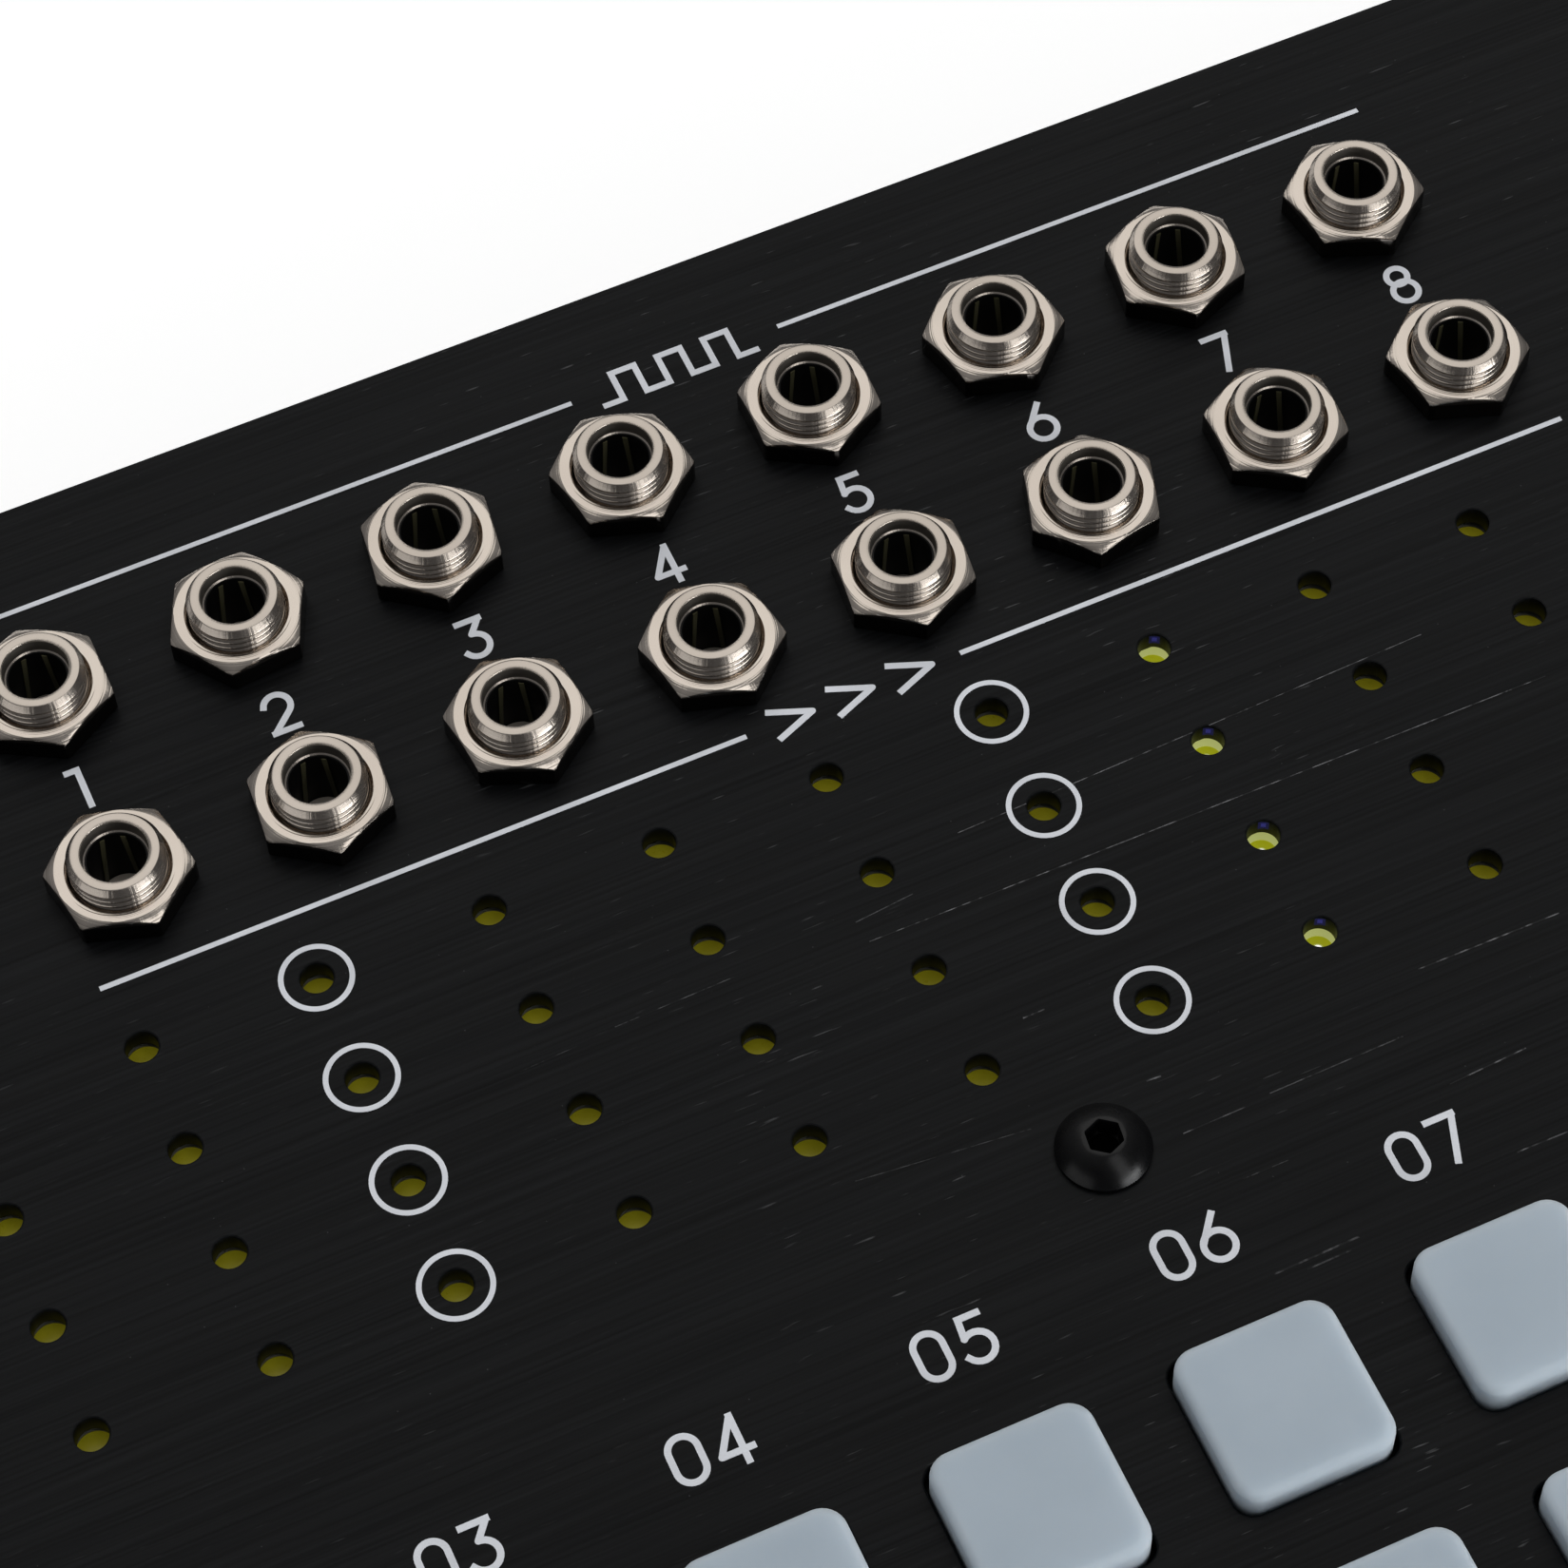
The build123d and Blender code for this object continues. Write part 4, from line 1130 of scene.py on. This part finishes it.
def button_screw(turn):
    """A domed head on z = 0 with a hex socket, and its shank below."""
    n, head, tall, rim, mouth, shank, long = 72, 2.85, 1.62, 0.3, 1.18, 1.5, 5.5
    middle = (mouth**2 + tall**2 - head**2 - rim**2) / (2 * (tall - rim))
    dome = sqrt(head**2 + (rim - middle) ** 2)
    foot = ((0.05, -long), (shank, -long), (shank, 0.0), (head - 0.06, 0.0), (head, 0.06))
    rings = [circle(r, z, n) for r, z in foot]
    for k in range(11):
        r = head + (mouth - head) * k / 10
        rings.append(circle(r, middle + sqrt(dome**2 - r * r), n))
    socket = [hexed(i, n, 2.0, turn) for i in range(n)]
    for grow, z in ((0.03, tall), (0.0, tall - 0.05), (0.0, tall - 1.6)):
        rings.append(ring_of([r + grow for r in socket], z))
    rings.append(circle(0.05, tall - 1.64, n))
    return loft(rings, cap_first=True, cap_last=True)


class SEQUENCER_OT_lamps(Operator):
    """Finishes the lamps: white packages, yellow lenses and the lit column"""

    bl_idname = "sequencer.lamps"
    bl_label = "Lamps"

    def execute(self, context):
        p, body, body_shade = look("lamp"), (0.30, 0.30, 0.26), (0.24, 0.24, 0.20)
        paint(moulded("Lamp package", body, body_shade, 0.5, grain=2500.0), "lamp_housings")
        paint(lens_off(), "lamp_lenses")
        dim = tuple(0.85 * c for c in p.glow)
        paint(glowing("Lens lit", p.glow, dim, p.glow_level), "lamp_lenses_lit")
        x, top = middle_of("lamp_lenses_lit")[0], heights("lamp_lenses_lit")[1]
        places = [(x, row[0][1]) for row in lamp_points()]
        core = glowing("Lamp core", p.glow_core, p.glow_core, 1.0)
        copies("lamp_cores", disc((0, 0), 0.31, top - 0.05, top + 0.02, 32), places, core, "lamp_lens_lit")
        # Painted glow: a pale ring on the lit lens, and the lamp's light on the package around it.
        rim = glowing("Lamp rim", p.glow_rim, tuple(0.9 * c for c in p.glow_rim), 0.9)
        halos = [disc(at, 0.39, top - 0.05, top + 0.01, 32) for at in places]
        halos += [moved(lamp_rim(), *at, top) for at in places]
        piece("lamp_rims", *gather(halos), rim, "case", "lamp_lens_lit")
        # Painted reflection: two glowing patches on the rear wall of each lit lamp's hole.
        faint = tuple(0.3 * c for c in p.glint)
        for name, tint, reach, low, high, lift in (
            ("faint", faint, 19, 0.95, 0.2, 0.01),
            ("bright", p.glint, 9, 0.75, 0.35, 0.016),
        ):
            blue = glowing(f"Lamp glint {name}", tint, tuple(0.7 * c for c in tint), 1.0, specular=0.05)
            patch = glint(reach, PANEL_TOP - low, PANEL_TOP - high, lift)
            copies(f"lamp_glints_{name}", patch, places, blue, "lamp_lens_lit")
        return {"FINISHED"}


def lamp_rim():
    """The edge of a lamp's package around its lens, glowing as painted light from the lamp."""
    n, inner, outer, half, low, high = 48, 0.94, 1.55, 1.39, 0.0, 0.02
    reach = [min(outer, half / max(abs(sin(2 * pi * i / n)), 0.01)) for i in range(n)]
    rings = [circle(inner, low, n), ring_of(reach, low), ring_of(reach, high), circle(inner, high, n)]
    return loft(rings, closed=True)


def glint(reach, low, high, lift):
    """A small glowing patch high on the rear wall of a lamp hole: a painted reflection of the lamp's blue
    die.
    """
    r, thick, middle, steps = look("panel").lamp_hole - lift, 0.004, 62.0, 8
    turns = [radians(middle + reach * (2 * k / steps - 1)) for k in range(steps + 1)]
    line = [(r * cos(a), r * sin(a)) for a in turns]
    line += [((r + thick) * cos(a), (r + thick) * sin(a)) for a in turns[::-1]]
    rings = [[(x, y, z) for x, y in line] for z in (low, high)]
    return loft(rings, cap_first=True, cap_last=True, flip=True)


class SEQUENCER_OT_keys(Operator):
    """Makes the soft keys, each riding on its own body"""

    bl_idname = "sequencer.keys"
    bl_label = "Keys"

    def execute(self, context):
        skin = silicone()
        one = soft_key(*heights(KEYS[0]))
        for key in KEYS:
            x, y, _ = middle_of(key)
            made = piece(f"soft_{key}", *moved(one, x, y), skin, key, "silicone", 60.0)
            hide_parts(key)
        paint(skin, "keypad_mat")
        return {"FINISHED"}


def soft_key(low, top):
    """A key: contact foot, flange, straight sides, rolled edge and a faintly swelled top."""
    p = look("key")
    half, r = p.size / 2, p.round_edge
    flange_low, flange_top, foot_r = PANEL_LOW - 1.0, PANEL_LOW - 0.2, 2.5
    rings = [rounded(foot_r, foot_r, low), rounded(foot_r, foot_r, flange_low)]
    rings += [rounded(p.flange / 2, p.corner, flange_low), rounded(p.flange / 2, p.corner, flange_top)]
    rings += [rounded(half, p.corner, flange_top), rounded(half, p.corner, PANEL_TOP + 0.1)]
    swell = top - p.crown
    for k in range(11):
        a = radians(90 * k / 10)
        inset = r * (1 - cos(a))
        rings.append(rounded(half - inset, p.corner - inset * 0.6, swell - r + r * sin(a)))
    edge = rings[-1]
    for share in (0.85, 0.6, 0.3, 0.02):
        rings.append([(x * share, y * share, swell + p.crown * (1 - share**2)) for x, y, _ in edge])
    return loft(rings, cap_first=True, cap_last=True)


class SEQUENCER_OT_base(Operator):
    """Finishes the folded base and its feet"""

    bl_idname = "sequencer.base"
    bl_label = "Base and feet"

    def execute(self, context):
        coat = moulded(
            "Powder coat",
            (0.0095, 0.0095, 0.010),
            (0.0115, 0.0115, 0.012),
            0.55,
            grain=2200.0,
            relief=0.35,
            depth=0.05,
            specular=0.35,
        )
        dark, pale = (0.014,) * 3, (0.022,) * 3
        rubber = moulded("Black rubber", dark, pale, 0.8, grain=1500.0, relief=0.3, specular=0.2)
        paint(coat, "base_shell", "rear_plate")
        paint(rubber, "rubber_feet")
        return {"FINISHED"}


class SEQUENCER_OT_rear_sockets(Operator):
    """Finishes the rear sockets and the power inlet"""

    bl_idname = "sequencer.rear_sockets"
    bl_label = "Rear sockets"

    def execute(self, context):
        black = moulded("Socket moulding", (0.012,) * 3, (0.02,) * 3, 0.42)
        pin = moulded("Pin plate", (0.62, 0.6, 0.56), (0.5, 0.48, 0.45), 0.25, metallic=1.0, relief=0.06)
        paint(black, "midi_in_socket", "midi_out_socket", "dc_inlet")
        paint(pin, "dc_inlet_pin")
        return {"FINISHED"}


class SEQUENCER_OT_boards(Operator):
    """Finishes the boards and what stands on them"""

    bl_idname = "sequencer.boards"
    bl_label = "Boards"

    def execute(self, context):
        mask = moulded("Solder mask", (0.006, 0.018, 0.010), (0.010, 0.026, 0.014), 0.35, grain=700.0)
        package, package_shade = (0.014, 0.014, 0.015), (0.022, 0.022, 0.023)
        chip = moulded("Chip package", package, package_shade, 0.6, grain=2600.0, relief=0.3)
        plated = {"metallic": 1.0, "relief": 0.08}
        can = moulded("Metal can", (0.60, 0.60, 0.62), (0.50, 0.50, 0.52), 0.3, **plated)
        gold = moulded("Gold contact", (0.75, 0.55, 0.22), (0.62, 0.45, 0.18), 0.28, **plated)
        post = moulded("Nickel post", (0.55, 0.53, 0.49), (0.46, 0.44, 0.41), 0.32, **plated)
        paint(mask, "control_board", "main_board")
        paint(chip, "microcontroller", "lamp_driver_chips", "output_buffer_chips", "voltage_regulator")
        paint(can, "crystal", "capacitors")
        paint(gold, "key_contact_pads")
        paint(post, "panel_spacers", "upper_standoffs", "lower_standoffs")
        return {"FINISHED"}


class SEQUENCER_OT_stage(Operator):
    """Sets the floor, the soft lights, the sky and the camera"""

    bl_idname = "sequencer.stage"
    bl_label = "Stage"

    def execute(self, context):
        s = look("stage")
        self.lay_floor(context, s)
        self.hang_light("overhead_soft", s.overhead, (0.19, 0.50, 0.88), (1.4, 1.4), (1.0, 0.985, 0.96))
        self.hang_light("front_window", s.window, (0.26, -0.62, 0.64), (0.36, 0.8), (1.0, 1.0, 1.0))
        self.hang_light("low_strip", s.strip, (0.39, -0.69, 0.15), (0.52, 0.15), (0.97, 0.985, 1.0))
        self.hang_light("left_fill", s.fill, (-0.75, -0.25, 0.20), (0.8, 0.4), (1.0, 1.0, 1.0))
        self.make_sky(context, s)
        context.scene.view_settings.view_transform = "Standard"
        self.set_camera(context, s)
        return {"FINISHED"}

    def make_sky(self, context, s):
        """Light from all round, brightest above the rear."""
        sky = bpy.data.worlds.new("Soft sky")
        sky.use_nodes = True
        tree = sky.node_tree
        way = put(tree, "ShaderNodeTexCoord", (-900, 0)).outputs["Generated"]
        towards = vector_of(tree, "DOT_PRODUCT", (-700, 0), way, (0.10, 0.45, 0.88))["Value"]
        rise = spread(tree, towards, 0.0, 1.0, (-500, 0), 0.35, 0.95)
        tint = between(tree, rise, s.horizon, s.zenith, (-300, 0))
        tree.links.new(tint, tree.nodes["Background"].inputs["Color"])
        context.scene.world = sky

    def lay_floor(self, context, s):
        """A wide pale floor, clear from below, white to the camera and to mirrors, that keeps shadows."""
        half, near, far = 6.0, 0.3, 1.2
        corners = [(-half, -half, 0), (half, -half, 0), (half, half, 0), (-half, half, 0)]
        mesh = bpy.data.meshes.new("floor")
        mesh.from_pydata(corners, [], [(0, 1, 2, 3)])
        m, tree, shader = finish("Pale floor")
        tone = effect(tree, "Speckle", (-900, 0), Scale=60.0, Specks=0.0).outputs
        dim = tuple(0.985 * c for c in s.floor)
        base = between(tree, tone["Cloud"], s.floor, dim, (-500, 200))
        tree.links.new(base, shader.inputs["Base Color"])
        shader.inputs["Roughness"].default_value = 0.9
        shader.inputs["Specular IOR Level"].default_value = 0.1
        path = put(tree, "ShaderNodeLightPath", (-900, -400)).outputs
        seen = sum_of(tree, "MAXIMUM", (-700, -400), path["Is Camera Ray"], path["Is Glossy Ray"])
        seen = sum_of(tree, "MAXIMUM", (-500, -400), seen, path["Is Transmission Ray"])
        shown = sum_of(tree, "MULTIPLY", (-300, -400), seen, s.lift)
        place = put(tree, "ShaderNodeNewGeometry", (-900, -700)).outputs
        away = vector_of(tree, "LENGTH", (-700, -550), place["Position"])["Value"]
        more = spread(tree, away, 0.0, s.far_lift, (-500, -550), near, far)
        level = sum_of(tree, "MULTIPLY_ADD", (-100, -400), path["Is Camera Ray"], more, shown)
        solid = sum_of(tree, "SUBTRACT", (-700, -700), 1.0, place["Backfacing"])
        tree.links.new(solid, shader.inputs["Alpha"])
        shader.inputs["Emission Color"].default_value = (1.0, 1.0, 1.0, 1.0)
        tree.links.new(level, shader.inputs["Emission Strength"])
        mesh.materials.append(m)
        floor_plane = bpy.data.objects.new("floor", mesh)
        context.scene.collection.objects.link(floor_plane)

    def hang_light(self, name, watts, at, size, tint):
        """A soft light of that width and height that looks at the middle of the panel."""
        data = bpy.data.lights.new(name, "AREA")
        data.energy = watts
        data.shape = "RECTANGLE"
        data.size, data.size_y = size
        data.color = tint
        light = bpy.data.objects.new(name, data)
        light.location = at
        aim = Vector((0.0, 0.0, PANEL_TOP * MM)) - Vector(at)
        light.rotation_euler = aim.to_track_quat("-Z", "Y").to_euler()
        bpy.context.scene.collection.objects.link(light)

    def set_camera(self, context, s):
        """The camera at the photograph's place."""
        data = bpy.data.cameras.new("camera")
        data.sensor_width = 36.0
        data.lens = s.lens
        data.clip_start = 0.01
        camera = bpy.data.objects.new("camera", data)
        camera.location = (-0.063225, -0.120152, 0.284801)
        camera.rotation_euler = (radians(31.6874), radians(1.5907), radians(-23.9868))
        context.scene.collection.objects.link(camera)
        context.scene.camera = camera


ORDER = (
    SEQUENCER_OT_panel,
    SEQUENCER_OT_print,
    SEQUENCER_OT_bushings,
    SEQUENCER_OT_nuts,
    SEQUENCER_OT_socket_insides,
    SEQUENCER_OT_screws,
    SEQUENCER_OT_lamps,
    SEQUENCER_OT_keys,
    SEQUENCER_OT_base,
    SEQUENCER_OT_rear_sockets,
    SEQUENCER_OT_boards,
    SEQUENCER_OT_stage,
)


class SEQUENCER_PT_sidebar(Panel):
    """Lists the pieces of the sequencer and their settings"""

    bl_idname = "SEQUENCER_PT_sidebar"
    bl_label = "Beat sequencer"
    bl_space_type = "VIEW_3D"
    bl_region_type = "UI"
    bl_category = "Sequencer"

    def draw(self, context):
        for operator in ORDER:
            self.layout.operator(operator.bl_idname)
        for name, group in GROUPS.items():
            box = self.layout.box()
            for prop in group.__annotations__:
                box.prop(getattr(context.scene, name), prop)


CLASSES = (*GROUPS.values(), *ORDER, SEQUENCER_PT_sidebar)


def register():
    """Adds the classes and the settings."""
    for cls in CLASSES:
        bpy.utils.register_class(cls)
    for name, group in GROUPS.items():
        setattr(bpy.types.Scene, name, PointerProperty(type=group))


def unregister():
    """Takes the settings and the classes away."""
    for name in GROUPS:
        delattr(bpy.types.Scene, name)
    for cls in reversed(CLASSES):
        bpy.utils.unregister_class(cls)


def main():
    """Makes every piece in order."""
    register()
    for operator in ORDER:
        area, name = operator.bl_idname.split(".")
        getattr(getattr(bpy.ops, area), name)()


if __name__ == "__main__":
    main()
